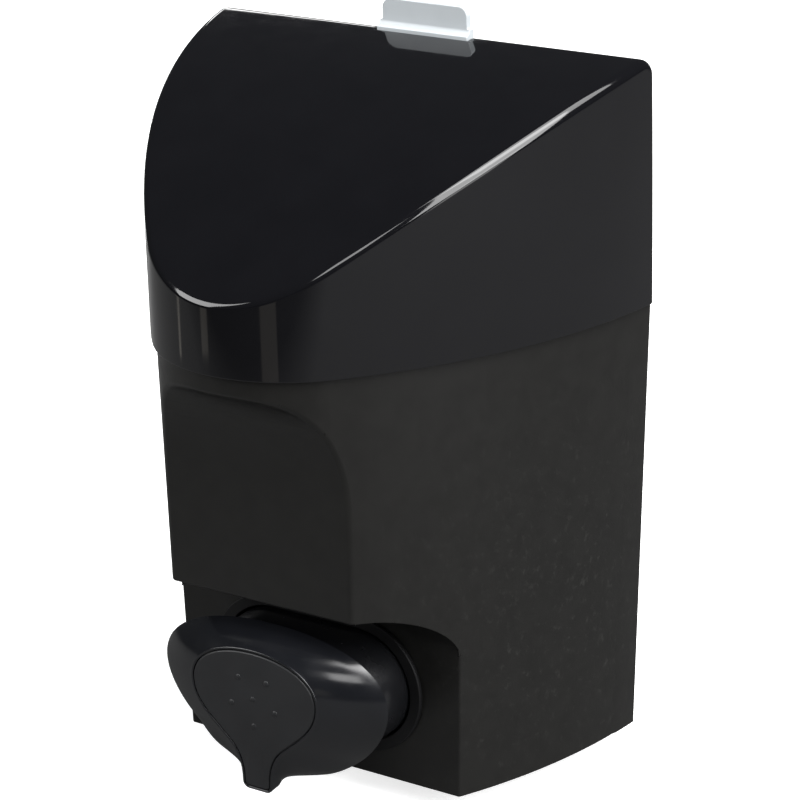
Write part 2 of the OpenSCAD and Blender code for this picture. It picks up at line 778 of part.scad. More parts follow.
module button_screw() {
    arm = 3.6;                               // the cross in its head
    arm_w = 0.6;
    arm_y = -pocket_floor - 0.5;
    color("#c9cbce") on_wall() {
        along_y(button_screw_r, pocket_floor - head_t + hair, shell_inner - screw_len, 0, screw_z);
        difference() {
            along_y(head_r, pocket_floor - hair, pocket_floor - head_t, 0, screw_z);
            translate([-arm / 2, arm_y, screw_z - arm_w / 2]) cube([arm, head_t, arm_w]);
            translate([-arm_w / 2, arm_y, screw_z - arm / 2]) cube([arm_w, head_t, arm]);
        }
    }
}

wall_plate();
catch_lever();
catch_pin();
catch_spring();
reservoir();
lid();
button_guide();
pump_cylinder();
cylinder_cap();
stem_seal();
flange_gasket();
lock_nut();
pump_stem();
piston();
piston_seal();
return_spring();
push_button();
thumb_pad();
button_skirt();
spout();
nozzle_valve();
button_screw();
inlet_seat();
inlet_ball();
inlet_strainer();
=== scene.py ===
"""A wall mounted soap dispenser with a lift-off lid and a push button pump.

Inside the classes a length is in millimetres and a place is (x, forward, up): x to the right,
forward of the shell's rear edge, and up from the reservoir's bottom edge. place() turns it into
the frame's metres.
"""
import logging
import math
from collections.abc import Callable, Iterator, Sequence
from contextlib import contextmanager
from dataclasses import dataclass, field
from enum import Enum

import bmesh
import bpy
from mathutils import Matrix, Vector


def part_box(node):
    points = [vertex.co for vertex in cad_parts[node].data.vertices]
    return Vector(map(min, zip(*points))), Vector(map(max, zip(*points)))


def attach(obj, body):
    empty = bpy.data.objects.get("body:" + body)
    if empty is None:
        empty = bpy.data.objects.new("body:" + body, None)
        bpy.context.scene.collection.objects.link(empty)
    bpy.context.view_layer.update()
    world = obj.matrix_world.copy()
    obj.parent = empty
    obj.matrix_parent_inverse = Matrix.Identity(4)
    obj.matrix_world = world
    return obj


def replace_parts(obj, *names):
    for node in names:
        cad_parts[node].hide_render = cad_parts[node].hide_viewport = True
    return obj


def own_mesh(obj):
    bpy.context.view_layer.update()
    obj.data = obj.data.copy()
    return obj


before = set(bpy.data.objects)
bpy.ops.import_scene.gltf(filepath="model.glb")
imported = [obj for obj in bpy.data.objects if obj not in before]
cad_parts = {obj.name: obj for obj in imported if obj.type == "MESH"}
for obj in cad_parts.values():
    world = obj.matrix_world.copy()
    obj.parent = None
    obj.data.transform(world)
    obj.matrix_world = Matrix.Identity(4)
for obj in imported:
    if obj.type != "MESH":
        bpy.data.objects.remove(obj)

LOG = logging.getLogger("soap_dispenser")
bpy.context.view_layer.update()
MM = 0.001
WELD = 0.002
FLAT_ANGLE = 0.5
MIX_FIRST, MIX_SECOND, MIX_COLOUR = 6, 7, 2
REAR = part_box("lid")[1].y / MM
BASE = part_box("reservoir")[0].z / MM

Flat = tuple[float, float]
Place = tuple[float, float, float]
Colour = tuple[float, float, float]
Piece = bpy.types.Object


class Body(Enum):
    """The bodies that the pieces ride on."""

    DISPENSER = "dispenser"
    LID = "lid"
    CATCH = "catch"
    PUMP = "pump"


class Join(Enum):
    """What a combining step does with its tools."""

    REMOVE = "DIFFERENCE"
    ADD = "UNION"


class Solver(Enum):
    """How a combining step works: MANIFOLD suits a thin skin that folds over itself."""

    EXACT = "EXACT"
    MANIFOLD = "MANIFOLD"


class Along(Enum):
    """The direction that a flat outline is drawn out in."""

    X = "x"
    FORWARD = "forward"
    UP = "up"


# ---------- places and small mathematics ----------

def place(at: Place) -> Vector:
    """Turns a place on the shell into the frame's metres."""
    return Vector((at[0] * MM, (REAR - at[1]) * MM, (BASE + at[2]) * MM))


def shell_place(point: Vector) -> Place:
    """Turns a point in the frame back into a place on the shell."""
    return (point.x / MM, REAR - point.y / MM, point.z / MM - BASE)


def span(node: str) -> tuple[Place, Place]:
    """Measures a CAD node on the shell.

    Args:
        node: The node's name.

    Returns:
        Its lowest and its highest x, forward and up, in millimetres.
    """
    low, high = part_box(node)
    a, b = shell_place(low), shell_place(high)
    return (a[0], b[1], a[2]), (b[0], a[1], b[2])


def mix(a: float, b: float, t: float) -> float:
    """Goes from a to b as t goes from 0 to 1."""
    return a + (b - a) * t


def mix_flat(a: Flat, b: Flat, t: float) -> Flat:
    """Goes from point a to point b as t goes from 0 to 1."""
    return (mix(a[0], b[0], t), mix(a[1], b[1], t))


def arc(centre: Flat, radius: float, start: float, end: float, steps: int) -> list[Flat]:
    """Points along an arc from one angle to another, in degrees, both ends included."""
    angles = [math.radians(mix(start, end, i / steps)) for i in range(steps + 1)]
    return [(centre[0] + radius * math.cos(a), centre[1] + radius * math.sin(a)) for a in angles]


def bezier(a: Flat, b: Flat, c: Flat, d: Flat, steps: int) -> list[Flat]:
    """Points along a cubic curve, without its last one.

    Args:
        a: The curve's start.
        b: Its first handle.
        c: Its second handle.
        d: Its end.
        steps: How many steps it takes.

    Returns:
        The points.
    """
    points = []
    for i in range(steps):
        t = i / steps
        weights = ((1 - t) ** 3, 3 * t * (1 - t) ** 2, 3 * t * t * (1 - t), t ** 3)
        points.append(tuple(sum(w * p[k] for w, p in zip(weights, (a, b, c, d))) for k in (0, 1)))
    return points


def stadium(half_span: float, radius: float, centre: Flat, steps: int) -> list[Flat]:
    """An outline with straight sides along x and two round ends.

    Args:
        half_span: Half the distance between the ends' centres.
        radius: The ends' radius.
        centre: The outline's centre.
        steps: Steps round each end.

    Returns:
        The outline's points, once round.
    """
    right = arc((centre[0] + half_span, centre[1]), radius, -90, 90, steps)
    left = arc((centre[0] - half_span, centre[1]), radius, 90, 270, steps)
    return right + left


def moved_in(outline: Sequence[Flat], distance: float) -> list[Flat]:
    """Moves each point of a closed outline that runs clockwise inwards.

    Args:
        outline: The outline.
        distance: How far each point moves.

    Returns:
        The moved outline.
    """
    moved = []
    for i, point in enumerate(outline):
        ahead, behind = outline[(i + 1) % len(outline)], outline[i - 1]
        run = (ahead[0] - behind[0], ahead[1] - behind[1])
        length = math.hypot(*run)
        moved.append((point[0] + distance * run[1] / length, point[1] - distance * run[0] / length))
    return moved


# ---------- meshes ----------

def put(name: str, data: bpy.types.ID) -> bpy.types.Object:
    """Makes an object of a mesh, a light or a camera and links it to the scene.

    Args:
        name: The object's name.
        data: What it shows.

    Returns:
        The linked object.
    """
    made = bpy.data.objects.new(name, data)
    bpy.context.scene.collection.objects.link(made)
    return made


@contextmanager
def editing(mesh: bpy.types.Mesh) -> Iterator[bmesh.types.BMesh]:
    """Opens a mesh for editing and writes it back at the end.

    Args:
        mesh: The mesh.

    Yields:
        Its editable form.
    """
    work = bmesh.new()
    work.from_mesh(mesh)
    yield work
    work.to_mesh(mesh)
    work.free()


def make_piece(name: str, points: Sequence[Place], faces: Sequence[Sequence[int]]) -> Piece:
    """Makes a closed mesh whose faces point outwards.

    Args:
        name: The piece's name.
        points: Its corners, as places on the shell.
        faces: The corners of each face, by number.

    Returns:
        The new object, at the origin.
    """
    mesh = bpy.data.meshes.new(name)
    mesh.from_pydata([place(p) for p in points], [], faces)
    with editing(mesh) as work:
        bmesh.ops.recalc_face_normals(work, faces=work.faces[:])
    return put(name, mesh)


def loft(name: str, rings: Sequence[Sequence[Place]], closed: bool = False) -> Piece:
    """Joins rings that have the same number of points.

    Args:
        name: The piece's name.
        rings: The rings, in order.
        closed: True if the last ring joins the first, else the two ends are capped.

    Returns:
        The new object.
    """
    count = len(rings[0])
    faces = []
    for k in range(len(rings) if closed else len(rings) - 1):
        low, high = k * count, (k + 1) % len(rings) * count
        faces += [(low + i, low + (i + 1) % count, high + (i + 1) % count, high + i)
                  for i in range(count)]
    if not closed:
        faces += [tuple(range(count)), tuple(range((len(rings) - 1) * count, len(rings) * count))]
    return make_piece(name, [p for ring in rings for p in ring], faces)


def block(name: str, outline: Sequence[Flat], along: Along, start: float, end: float) -> Piece:
    """Draws an outline out into a solid.

    Args:
        name: The piece's name.
        outline: (forward, up) along X, (x, up) along FORWARD, (x, forward) along UP.
        along: The direction.
        start: Where the solid starts.
        end: Where it ends.

    Returns:
        The new object.
    """
    def lay(point: Flat, depth: float) -> Place:
        """Stands one point of the outline at a depth along the direction.

        Args:
            point: The outline's point.
            depth: The distance along the direction.

        Returns:
            The place on the shell.
        """
        if along is Along.X:
            return (depth, *point)
        if along is Along.FORWARD:
            return (point[0], depth, point[1])
        return (*point, depth)
    return loft(name, [[lay(p, depth) for p in outline] for depth in (start, end)])


def brick(name: str, low: Place, high: Place) -> Piece:
    """A plain box between two corners, for cutting."""
    outline = [(low[0], low[1]), (high[0], low[1]), (high[0], high[1]), (low[0], high[1])]
    return block(name, outline, Along.UP, low[2], high[2])


def rod(name: str, radius: float, centre: Flat, start: float, end: float, steps: int = 12) -> Piece:
    """A round solid that runs forwards from start to end, for a post or a hole."""
    return block(name, stadium(0, radius, centre, steps), Along.FORWARD, start, end)


def settle(piece: Piece) -> Piece:
    """Turns what a piece's modifiers make into its plain mesh.

    Args:
        piece: The piece.

    Returns:
        The same piece.
    """
    made = bpy.data.meshes.new_from_object(piece.evaluated_get(bpy.context.evaluated_depsgraph_get()))
    piece.modifiers.clear()
    old = piece.data
    piece.data = made
    if not old.users:
        bpy.data.meshes.remove(old)
    return piece


def combine(piece: Piece, tools: Sequence[Piece], join: Join = Join.REMOVE,
            solver: Solver = Solver.EXACT) -> Piece:
    """Cuts tools out of a piece, or joins them to it, and deletes them.

    Args:
        piece: The piece to change.
        tools: The closed solids to use.
        join: What to do with the tools.
        solver: How to do it.

    Returns:
        The same piece.
    """
    for tool in tools:
        modifier = piece.modifiers.new("combine", "BOOLEAN")
        modifier.operation = join.value
        modifier.solver = solver.value
        modifier.object = tool
        settle(piece)
        bpy.data.objects.remove(tool)
    return piece


def clean(piece: Piece, reach: float = 0.004) -> Piece:
    """Merges corners that lie on each other and dissolves needless ones.

    Args:
        piece: The piece to clean.
        reach: How near two corners are to be merged, in millimetres.

    Returns:
        The same piece.
    """
    with editing(piece.data) as work:
        bmesh.ops.remove_doubles(work, verts=work.verts[:], dist=reach * MM)
        bmesh.ops.dissolve_degenerate(work, edges=work.edges[:], dist=reach * MM)
    return piece


def round_edges(piece: Piece, width: float, steps: int, least: float,
                chosen: Callable[[Place], bool] = lambda at: True, clamp: bool = True) -> Piece:
    """Rounds a piece's sharp edges.

    Args:
        piece: The piece.
        width: How far the rounding reaches from the edge, in millimetres.
        steps: Steps across the rounding.
        least: The smallest angle between two faces that counts as sharp, in degrees.
        chosen: Tells from an edge's middle whether it is rounded.
        clamp: True if the roundings may not run over each other.

    Returns:
        The same piece.
    """
    with editing(piece.data) as work:
        sharp = [e for e in work.edges
                 if len(e.link_faces) == 2 and e.calc_face_angle(0) > math.radians(least)
                 and chosen(shell_place((e.verts[0].co + e.verts[1].co) / 2))]
        bmesh.ops.bevel(work, geom=sharp, offset=width * MM, segments=steps, profile=0.5,
                        affect="EDGES", clamp_overlap=clamp, offset_type="OFFSET")
    return piece


def smooth(piece: Piece, crease: float = 38) -> Piece:
    """Shades a piece smooth up to a crease angle, with its large faces kept flat.

    Args:
        piece: The piece.
        crease: The smallest angle that stays sharp, in degrees.

    Returns:
        The same piece.
    """
    piece.data.shade_smooth()
    piece.data.set_sharp_from_angle(angle=math.radians(crease))
    modifier = piece.modifiers.new("normals", "WEIGHTED_NORMAL")
    modifier.keep_sharp = True
    return settle(piece)


def softened(name: str, node: str, width: float, steps: int = 2, least: float = 35) -> Piece:
    """Copies a CAD node's shape and rounds its edges.

    Args:
        name: The new piece's name.
        node: The CAD node.
        width: The rounding, in millimetres.
        steps: Steps across it.
        least: The smallest angle that counts as sharp, in degrees.

    Returns:
        The new piece.
    """
    piece = put(name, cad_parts[node].data.copy())
    with editing(piece.data) as work:
        bmesh.ops.remove_doubles(work, verts=work.verts[:], dist=WELD * MM)
        bmesh.ops.dissolve_limit(work, angle_limit=math.radians(FLAT_ANGLE), verts=work.verts[:],
                                 edges=work.edges[:])
    return smooth(round_edges(piece, width, steps, least))


# ---------- nodes ----------

def feed(node: bpy.types.Node, key: str | int, value: object) -> None:
    """Sets a node's input to a value, or links an output socket to it.

    Args:
        node: The node.
        key: The input's name or number.
        value: A value or an output socket.
    """
    if isinstance(value, bpy.types.NodeSocket):
        node.id_data.links.new(value, node.inputs[key])
    else:
        node.inputs[key].default_value = value


def add_node(tree: bpy.types.NodeTree, kind: str, inputs: dict[str | int, object],
             **settings: object) -> bpy.types.Node:
    """Adds a node to a tree.

    Args:
        tree: The tree.
        kind: The node's type.
        inputs: Values or output sockets for its inputs, by name or number.
        settings: The node's own properties.

    Returns:
        The node.
    """
    node = tree.nodes.new(kind)
    for key, value in settings.items():
        setattr(node, key, value)
    for key, value in inputs.items():
        feed(node, key, value)
    return node


# ---------- finishes ----------

class Nodes:
    """A short way to write a material's nodes."""

    def __init__(self, material: bpy.types.Material) -> None:
        """Takes up a material, which has at least its shader and its output.

        Args:
            material: The material.
        """
        self.material = material
        self.material.use_nodes = True
        self.tree = self.material.node_tree
        self.shader = self.tree.nodes["Principled BSDF"]
        self.spot = self.add("ShaderNodeTexCoord").outputs["Object"]

    def add(self, kind: str, inputs: dict[str | int, object] | None = None,
            **settings: object) -> bpy.types.Node:
        """Adds a node to the material's tree."""
        return add_node(self.tree, kind, inputs or {}, **settings)

    def finish(self, **values: object) -> None:
        """Feeds the shader's inputs, whose names are written with _ for a space."""
        for key, value in values.items():
            feed(self.shader, key.replace("_", " "), value)

    def noise(self, size: float, detail: float = 2.0) -> bpy.types.NodeSocket:
        """Noise whose blobs are size millimetres across."""
        return self.add("ShaderNodeTexNoise", {"Vector": self.spot, "Scale": 1 / (size * MM),
                                               "Detail": detail}).outputs["Fac"]

    def spread(self, value: bpy.types.NodeSocket, low: float, high: float,
               start: float = 0.35, end: float = 0.65) -> bpy.types.NodeSocket:
        """Stretches a value from start..end to low..high."""
        return self.add("ShaderNodeMapRange", {"Value": value, "From Min": start, "From Max": end,
                                               "To Min": low, "To Max": high}).outputs["Result"]

    def tint(self, share: bpy.types.NodeSocket, first: Colour, second: Colour) -> bpy.types.NodeSocket:
        """Mixes two colours by a share from 0 to 1."""
        inputs = {"Factor": share, MIX_FIRST: (*first, 1), MIX_SECOND: (*second, 1)}
        return self.add("ShaderNodeMix", inputs, data_type="RGBA").outputs[MIX_COLOUR]

    def bump(self, height: bpy.types.NodeSocket, depth: float,
             under: bpy.types.NodeSocket | None = None) -> bpy.types.NodeSocket:
        """Bumps that are depth millimetres high, over others if there are any.

        Args:
            height: The height, from 0 to 1.
            depth: How high a bump is, in millimetres.
            under: The normal that they lie on.

        Returns:
            The bumped normal.
        """
        inputs = {"Height": height, "Distance": depth * MM}
        if under is not None:
            inputs["Normal"] = under
        return self.add("ShaderNodeBump", inputs).outputs["Normal"]


@dataclass(frozen=True)
class Plastic:
    """A moulded plastic or rubber.

    Its colour drifts slightly, its gloss is uneven, and it has a fine grain over a slow wave.
    """

    name: str
    colour: Colour
    drift: float = 0.12
    gloss: Flat = (0.3, 0.4)
    shine: float = 0.5
    grain: float = 0.3
    grain_depth: float = 0.01
    wave: float = 18.0
    wave_depth: float = 0.0
    cloud: float = 14.0
    through: float = 0.0
    through_reach: float = 4.0

    def make(self) -> bpy.types.Material:
        """Builds the material's nodes.

        Returns:
            The material.
        """
        n = Nodes(bpy.data.materials.new(self.name))
        cloud = n.spread(n.noise(self.cloud, 4), 0, 1)
        light = tuple(min(1.0, c * (1 + self.drift) + self.drift * 0.004) for c in self.colour)
        dark = tuple(c * (1 - self.drift) for c in self.colour)
        colour = n.tint(cloud, dark, light)
        gloss = n.spread(n.noise(self.cloud * 0.4, 3), *self.gloss)
        under = n.bump(n.noise(self.wave, 1), self.wave_depth) if self.wave_depth else None
        grain = n.bump(n.noise(self.grain), self.grain_depth, under)
        n.finish(Base_Color=colour, Roughness=gloss, Specular_IOR_Level=self.shine, Normal=grain)
        if self.through:
            n.finish(Subsurface_Weight=self.through, Subsurface_Radius=(self.through_reach * MM,) * 3)
        return n.material


@dataclass(frozen=True)
class WornPlastic(Plastic):
    """A plastic with faint pale scuffs, more of them low down on one side."""

    scuff: Colour = (0.03, 0.03, 0.028)
    middle: Place = (62.0, 30.0, 40.0)
    reach: float = 75.0

    def make(self) -> bpy.types.Material:
        """Builds the plastic, then lays the scuffs over its colour.

        Returns:
            The material.
        """
        material = super().make()
        n = Nodes(material)
        base = n.shader.inputs["Base Color"].links[0].from_socket
        far = n.add("ShaderNodeVectorMath", {0: n.spot, 1: place(self.middle)}, operation="DISTANCE")
        near = n.spread(far.outputs["Value"], 1, 0, 0, self.reach * MM)
        stretched = n.add("ShaderNodeMapping", {"Vector": n.spot, "Scale": (1.0, 1.0, 0.8)})
        marks = n.add("ShaderNodeTexNoise", {"Vector": stretched.outputs["Vector"], "Scale": 520.0,
                                             "Detail": 6.0, "Roughness": 0.72}).outputs["Fac"]
        strong = n.spread(marks, 0, 1, 0.56, 0.78)
        amount = n.add("ShaderNodeMath", {0: strong, 1: near}, operation="MULTIPLY")
        mixed = n.add("ShaderNodeMix", {"Factor": amount.outputs["Value"], MIX_FIRST: base,
                                        MIX_SECOND: (*self.scuff, 1)}, data_type="RGBA")
        n.finish(Base_Color=mixed.outputs[MIX_COLOUR])
        return material


@dataclass(frozen=True)
class Metal:
    """A drawn or turned metal with fine marks round its axis."""

    name: str
    colour: Colour
    gloss: Flat = (0.2, 0.34)

    def make(self) -> bpy.types.Material:
        """Builds the material's nodes.

        Returns:
            The material.
        """
        n = Nodes(bpy.data.materials.new(self.name))
        stretched = n.add("ShaderNodeMapping", {"Vector": n.spot, "Scale": (8.0, 1.0, 1.0)})
        marks = n.add("ShaderNodeTexNoise", {"Vector": stretched.outputs["Vector"], "Scale": 900.0,
                                             "Detail": 3.0}).outputs["Fac"]
        colour = n.tint(n.spread(marks, 0, 1), tuple(c * 0.8 for c in self.colour), self.colour)
        gloss = n.spread(n.noise(1.5, 4), *self.gloss)
        n.finish(Metallic=1.0, Base_Color=colour, Roughness=gloss, Normal=n.bump(marks, 0.006))
        return n.material


@dataclass
class Finishes:
    """Every finish that the dispenser has, each made once."""

    lid: Plastic = Plastic("lid_gloss_black", (0.0032, 0.0032, 0.0040), drift=0.04, gloss=(0.045, 0.085),
                           shine=0.5, grain=0.9, grain_depth=0.0005, wave=26.0, wave_depth=0.012)
    tank: Plastic = WornPlastic("tank_satin_black", (0.0072, 0.0070, 0.0065), gloss=(0.36, 0.4),
                                shine=0.32, grain=0.22, grain_depth=0.006, cloud=5.0, drift=0.08)
    button: Plastic = Plastic("button_black", (0.0050, 0.0054, 0.0068), gloss=(0.15, 0.22), shine=0.5,
                              grain=0.3, grain_depth=0.0015, wave=12.0, wave_depth=0.006)
    skirt: Plastic = Plastic("skirt_black", (0.0060, 0.0062, 0.0072), gloss=(0.2, 0.28), shine=0.5,
                             grain=0.3, grain_depth=0.002)
    pad: Plastic = Plastic("pad_charcoal", (0.0080, 0.0084, 0.0096), gloss=(0.42, 0.5), shine=0.45,
                           grain=0.16, grain_depth=0.01)
    grey: Plastic = Plastic("catch_grey", (0.44, 0.47, 0.49), drift=0.03, gloss=(0.36, 0.44), shine=0.5,
                            grain=0.25, grain_depth=0.004)
    pump: Plastic = Plastic("pump_natural", (0.62, 0.63, 0.62), drift=0.04, gloss=(0.28, 0.38),
                            through=0.25, grain=0.3, grain_depth=0.002)
    rubber: Plastic = Plastic("seal_rubber", (0.028, 0.028, 0.030), gloss=(0.55, 0.68), grain=0.12)
    silicone: Plastic = Plastic("valve_silicone", (0.50, 0.50, 0.48), drift=0.05, gloss=(0.4, 0.5),
                                through=0.4, grain=0.2)
    guide: Plastic = Plastic("guide_black", (0.004, 0.004, 0.0045), gloss=(0.5, 0.6), shine=0.2,
                             grain=0.2)
    steel: Metal = Metal("spring_steel", (0.60, 0.61, 0.62))
    made: dict[str, bpy.types.Material] = field(default_factory=dict)

    def material(self, finish: Plastic | Metal) -> bpy.types.Material:
        """Returns a finish's material, which is built the first time it is wanted.

        Args:
            finish: One of this object's finishes.

        Returns:
            Its material.
        """
        if finish.name not in self.made:
            self.made[finish.name] = finish.make()
        return self.made[finish.name]

    def dress(self, piece: Piece, finish: Plastic | Metal, slot: str) -> None:
        """Gives a piece one finish.

        Args:
            piece: The piece.
            finish: One of this object's finishes.
            slot: Not used.
        """
        piece.data.materials.clear()
        piece.data.materials.append(self.material(finish))

    def fit(self, piece: Piece, node: str, body: Body, finish: Plastic | Metal, slot: str) -> None:
        """Puts a piece in a CAD node's place, on a body, and dresses it."""
        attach(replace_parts(piece, node), body.value)
        self.dress(piece, finish, slot)

    def dress_node(self, node: str, finish: Plastic | Metal, slot: str) -> None:
        """Gives a CAD node that stays in view a better finish."""
        self.dress(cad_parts[node], finish, slot)


# ---------- the shell seen from above ----------

@dataclass
class Plan:
    """The shell's outline seen from above: two long side curves that run into a round nose."""

    half_width: float = span("lid")[1][0]
    depth: float = span("lid")[1][1]
    nose_r: float = 35.0
    side_r: float = 145.0

    def __post_init__(self) -> None:
        """Works out the side curve's centre, so that it meets the nose with no corner."""
        self.nose_f = self.depth - self.nose_r
        chord = math.hypot(self.half_width, self.nose_f)
        run = (self.side_r ** 2 - (self.side_r - self.nose_r) ** 2 + chord ** 2) / (2 * chord)
        rise = math.sqrt(self.side_r ** 2 - run ** 2)
        self.side_x = self.half_width - (self.half_width * run + self.nose_f * rise) / chord
        self.side_f = (self.nose_f * run - self.half_width * rise) / chord
        reach = math.hypot(self.side_x, self.nose_f - self.side_f)
        self.turn = (-self.side_x / reach, (self.nose_f - self.side_f) / reach)

    def half(self, inset: float, rear: float, step: float = 2.0) -> list[tuple[Flat, Flat]]:
        """The right half of the outline, from its rear end to the tip of the nose.

        Args:
            inset: How far inwards of the outline it lies.
            rear: The forward distance at which it starts.
            step: The distance between points along the side.

        Returns:
            For each point its (x, forward) and its outward normal.
        """
        radius = self.side_r - inset
        start = math.asin((rear - self.side_f) / radius)
        end = math.atan2(self.turn[1], self.turn[0])
        steps = max(4, round((end - start) * radius / step))
        points = []
        for i in range(steps + 1):
            a = mix(start, end, i / steps)
            points.append(((self.side_x + radius * math.cos(a), self.side_f + radius * math.sin(a)),
                           (math.cos(a), math.sin(a))))
        radius = self.nose_r - inset
        steps = max(6, round((math.pi / 2 - end) * radius / (0.75 * step)))
        for i in range(1, steps + 1):
            a = mix(end, math.pi / 2, i / steps)
            out = (math.cos(a), math.sin(a))
            points.append(((radius * out[0], self.nose_f + radius * out[1]), out))
        points[-1] = ((0.0, points[-1][0][1]), (0.0, 1.0))
        return points

    def outline(self, inset: float, rear: float, step: float = 2.0, squeeze: float = 1.0) -> list[Flat]:
        """The whole outline, with its width multiplied by squeeze."""
        right = [(p[0] * squeeze, p[1]) for p, _ in self.half(inset, rear, step)]
        return right + [(-x, f) for x, f in reversed(right[:-1])]


# ---------- lid ----------

@dataclass
class Lid:
    """The lift-off lid: straight sides, a round crest at the rear and one long slope to the nose."""

    finishes: Finishes
    plan: Plan
    seam: float = span("lid")[0][2]
    top: float = span("lid")[1][2]
    wall: float = 2.4
    crest_r: float = 4.5
    drop: float = 45.0
    crown: float = 7.0
    low_round: float = 1.5
    high_round: float = 2.3
    round_steps: int = 7
    lip_height: float = 9.5
    rear_steps: int = 6
    crest_steps: int = 9
    notch_half: float = 13.9
    notch_depth: float = 6.0
    inner_rounds: Flat = (0.5, 1.2)
    rim_round: float = 0.35

    def __post_init__(self) -> None:
        """Works out the slope's arc, so that it meets the crest with no corner."""
        run = self.plan.depth - self.crest_r
        chord = math.hypot(run, self.drop)
        self.slope_r = (chord * chord / 4 + self.crown ** 2) / (2 * self.crown)
        self.slope_start = math.pi / 2 - math.atan2(self.drop, run) + math.asin(chord / 2 / self.slope_r)
        self.crest = (self.crest_r, self.top - self.crest_r)
        back = self.crest_r - self.slope_r
        self.slope = (self.crest[0] + back * math.cos(self.slope_start),
                      self.crest[1] + back * math.sin(self.slope_start))

    def spine(self, inset: float, bottom: float) -> list[tuple[Flat, Flat, Flat, Flat]]:
        """Follows the lid's edge from its rear bottom corner over the crest to the nose.

        Args:
            inset: How far inwards of the lid's outside it lies.
            bottom: The height it starts at.

        Returns:
            For each point its (forward, up), the profile's normal, its (x, forward) and the wall's
            normal.
        """
        rear_point, rear_normal = self.plan.half(inset, inset)[0]
        found = []
        for i in range(self.rear_steps):
            up = mix(bottom, self.crest[1], i / self.rear_steps)
            found.append(((inset, up), (-1.0, 0.0), rear_point, rear_normal))
        radius = self.crest_r - inset
        for i in range(self.crest_steps):
            a = mix(math.pi, self.slope_start, i / self.crest_steps)
            at = (self.crest[0] + radius * math.cos(a), self.crest[1] + radius * math.sin(a))
            point, normal = self.plan.half(inset, at[0])[0]
            found.append((at, (math.cos(a), math.sin(a)), point, normal))
        start = self.crest[0] + radius * math.cos(self.slope_start)
        radius = self.slope_r - inset
        for point, normal in self.plan.half(inset, start, 1.7):
            out = (point[1] - self.slope[0]) / radius
            up = math.sqrt(1 - out * out)
            found.append(((point[1], self.slope[1] + radius * up), (out, up), point, normal))
        return found

    def rounding(self, at: Flat, profile: Flat, point: Flat, wall: Flat, radius: float) -> list[Place]:
        """The points across the rounding from the side wall to the top.

        Args:
            at: (forward, up) of the sharp edge.
            profile: The top's normal, as (forward, up).
            point: (x, forward) of the sharp edge.
            wall: The side wall's normal, as (x, forward).
            radius: The rounding's radius.

        Returns:
            The points, from the wall to the top.
        """
        edge = Vector((point[0], at[0], at[1]))
        side, over = Vector((wall[0], wall[1], 0)), Vector((0, profile[0], profile[1]))
        centre = edge - radius * (side + over) / (1 + side.dot(over))
        angle = math.acos(max(-1.0, min(1.0, side.dot(over))))
        points = []
        for k in range(self.round_steps + 1):
            t = k / self.round_steps
            out = (side * math.sin((1 - t) * angle) + over * math.sin(t * angle)) / math.sin(angle)
            points.append(tuple(centre + radius * out))
        return points

    def solid(self, name: str, inset: float, bottom: float, rounds: Flat) -> Piece:
        """Builds the lid's outside, or its inside, as one closed solid.

        Args:
            name: The piece's name.
            inset: How far inwards of the lid's outside it lies.
            bottom: The height of its flat bottom.
            rounds: The rounding's radius low at the rear and on the slope.

        Returns:
            The solid.
        """
        spine = self.spine(inset, bottom)
        arcs = []
        for at, profile, point, wall in spine:
            t = (at[1] - self.seam) / (self.crest[1] - self.seam) if profile == (-1.0, 0.0) else 1.0
            arcs.append(self.rounding(at, profile, point, wall, mix(*rounds, max(0.0, t) ** 2)))
        stacked = self.rear_steps + self.crest_steps
        points: list[Place] = []
        faces: list[tuple[int, ...]] = []
        feet: list[list[int]] = []
        grids: list[list[list[int]]] = []
        for side in (1, -1):
            grid = []
            for row in arcs:
                grid.append(list(range(len(points), len(points) + len(row))))
                points += [(side * x, f, z) for x, f, z in row]
            foot = [grid[0][0]]
            for k in range(stacked, len(arcs)):
                foot.append(len(points))
                points.append((side * arcs[k][0][0], arcs[k][0][1], bottom))
            for k in range(len(arcs) - 1):
                for j in range(self.round_steps):
                    faces.append((grid[k][j], grid[k + 1][j], grid[k + 1][j + 1], grid[k][j + 1]))
            faces.append((foot[0], *[grid[k][0] for k in range(1, stacked + 1)], foot[1]))
            for k in range(stacked, len(arcs) - 1):
                low = k - stacked + 1
                faces.append((foot[low], grid[k][0], grid[k + 1][0], foot[low + 1]))
            feet.append(foot)
            grids.append(grid)
        for k in range(len(arcs) - 1):
            faces.append((grids[0][k][-1], grids[0][k + 1][-1], grids[1][k + 1][-1], grids[1][k][-1]))
        first = [*reversed(grids[0][0][1:]), *feet[0]]
        second = [*reversed(grids[1][0][1:]), *feet[1]]
        faces.append((*first, *reversed(second)))
        return clean(make_piece(name, points, faces), 0.01)

    def build(self) -> None:
        """Hollows the lid, opens its rear, cuts the catch's notch and dresses it."""
        lid = self.solid("lid_shell", 0.0, self.seam, (self.low_round, self.high_round))
        inside = self.solid("inside", self.wall, self.seam - 1, self.inner_rounds)
        lip = self.top - self.lip_height
        rear = [(x, f) for x, f in self.plan.outline(self.wall, -1.0, 4.0) if f < self.crest_r + 1]
        opening = block("opening", rear, Along.UP, self.seam - 1, lip)
        notch = brick("notch", (-self.notch_half, -1, lip - 2),
                      (self.notch_half, self.notch_depth, self.top + 2))
        combine(lid, [inside, opening, notch])
        clean(lid)
        middle = self.plan.half_width - 6

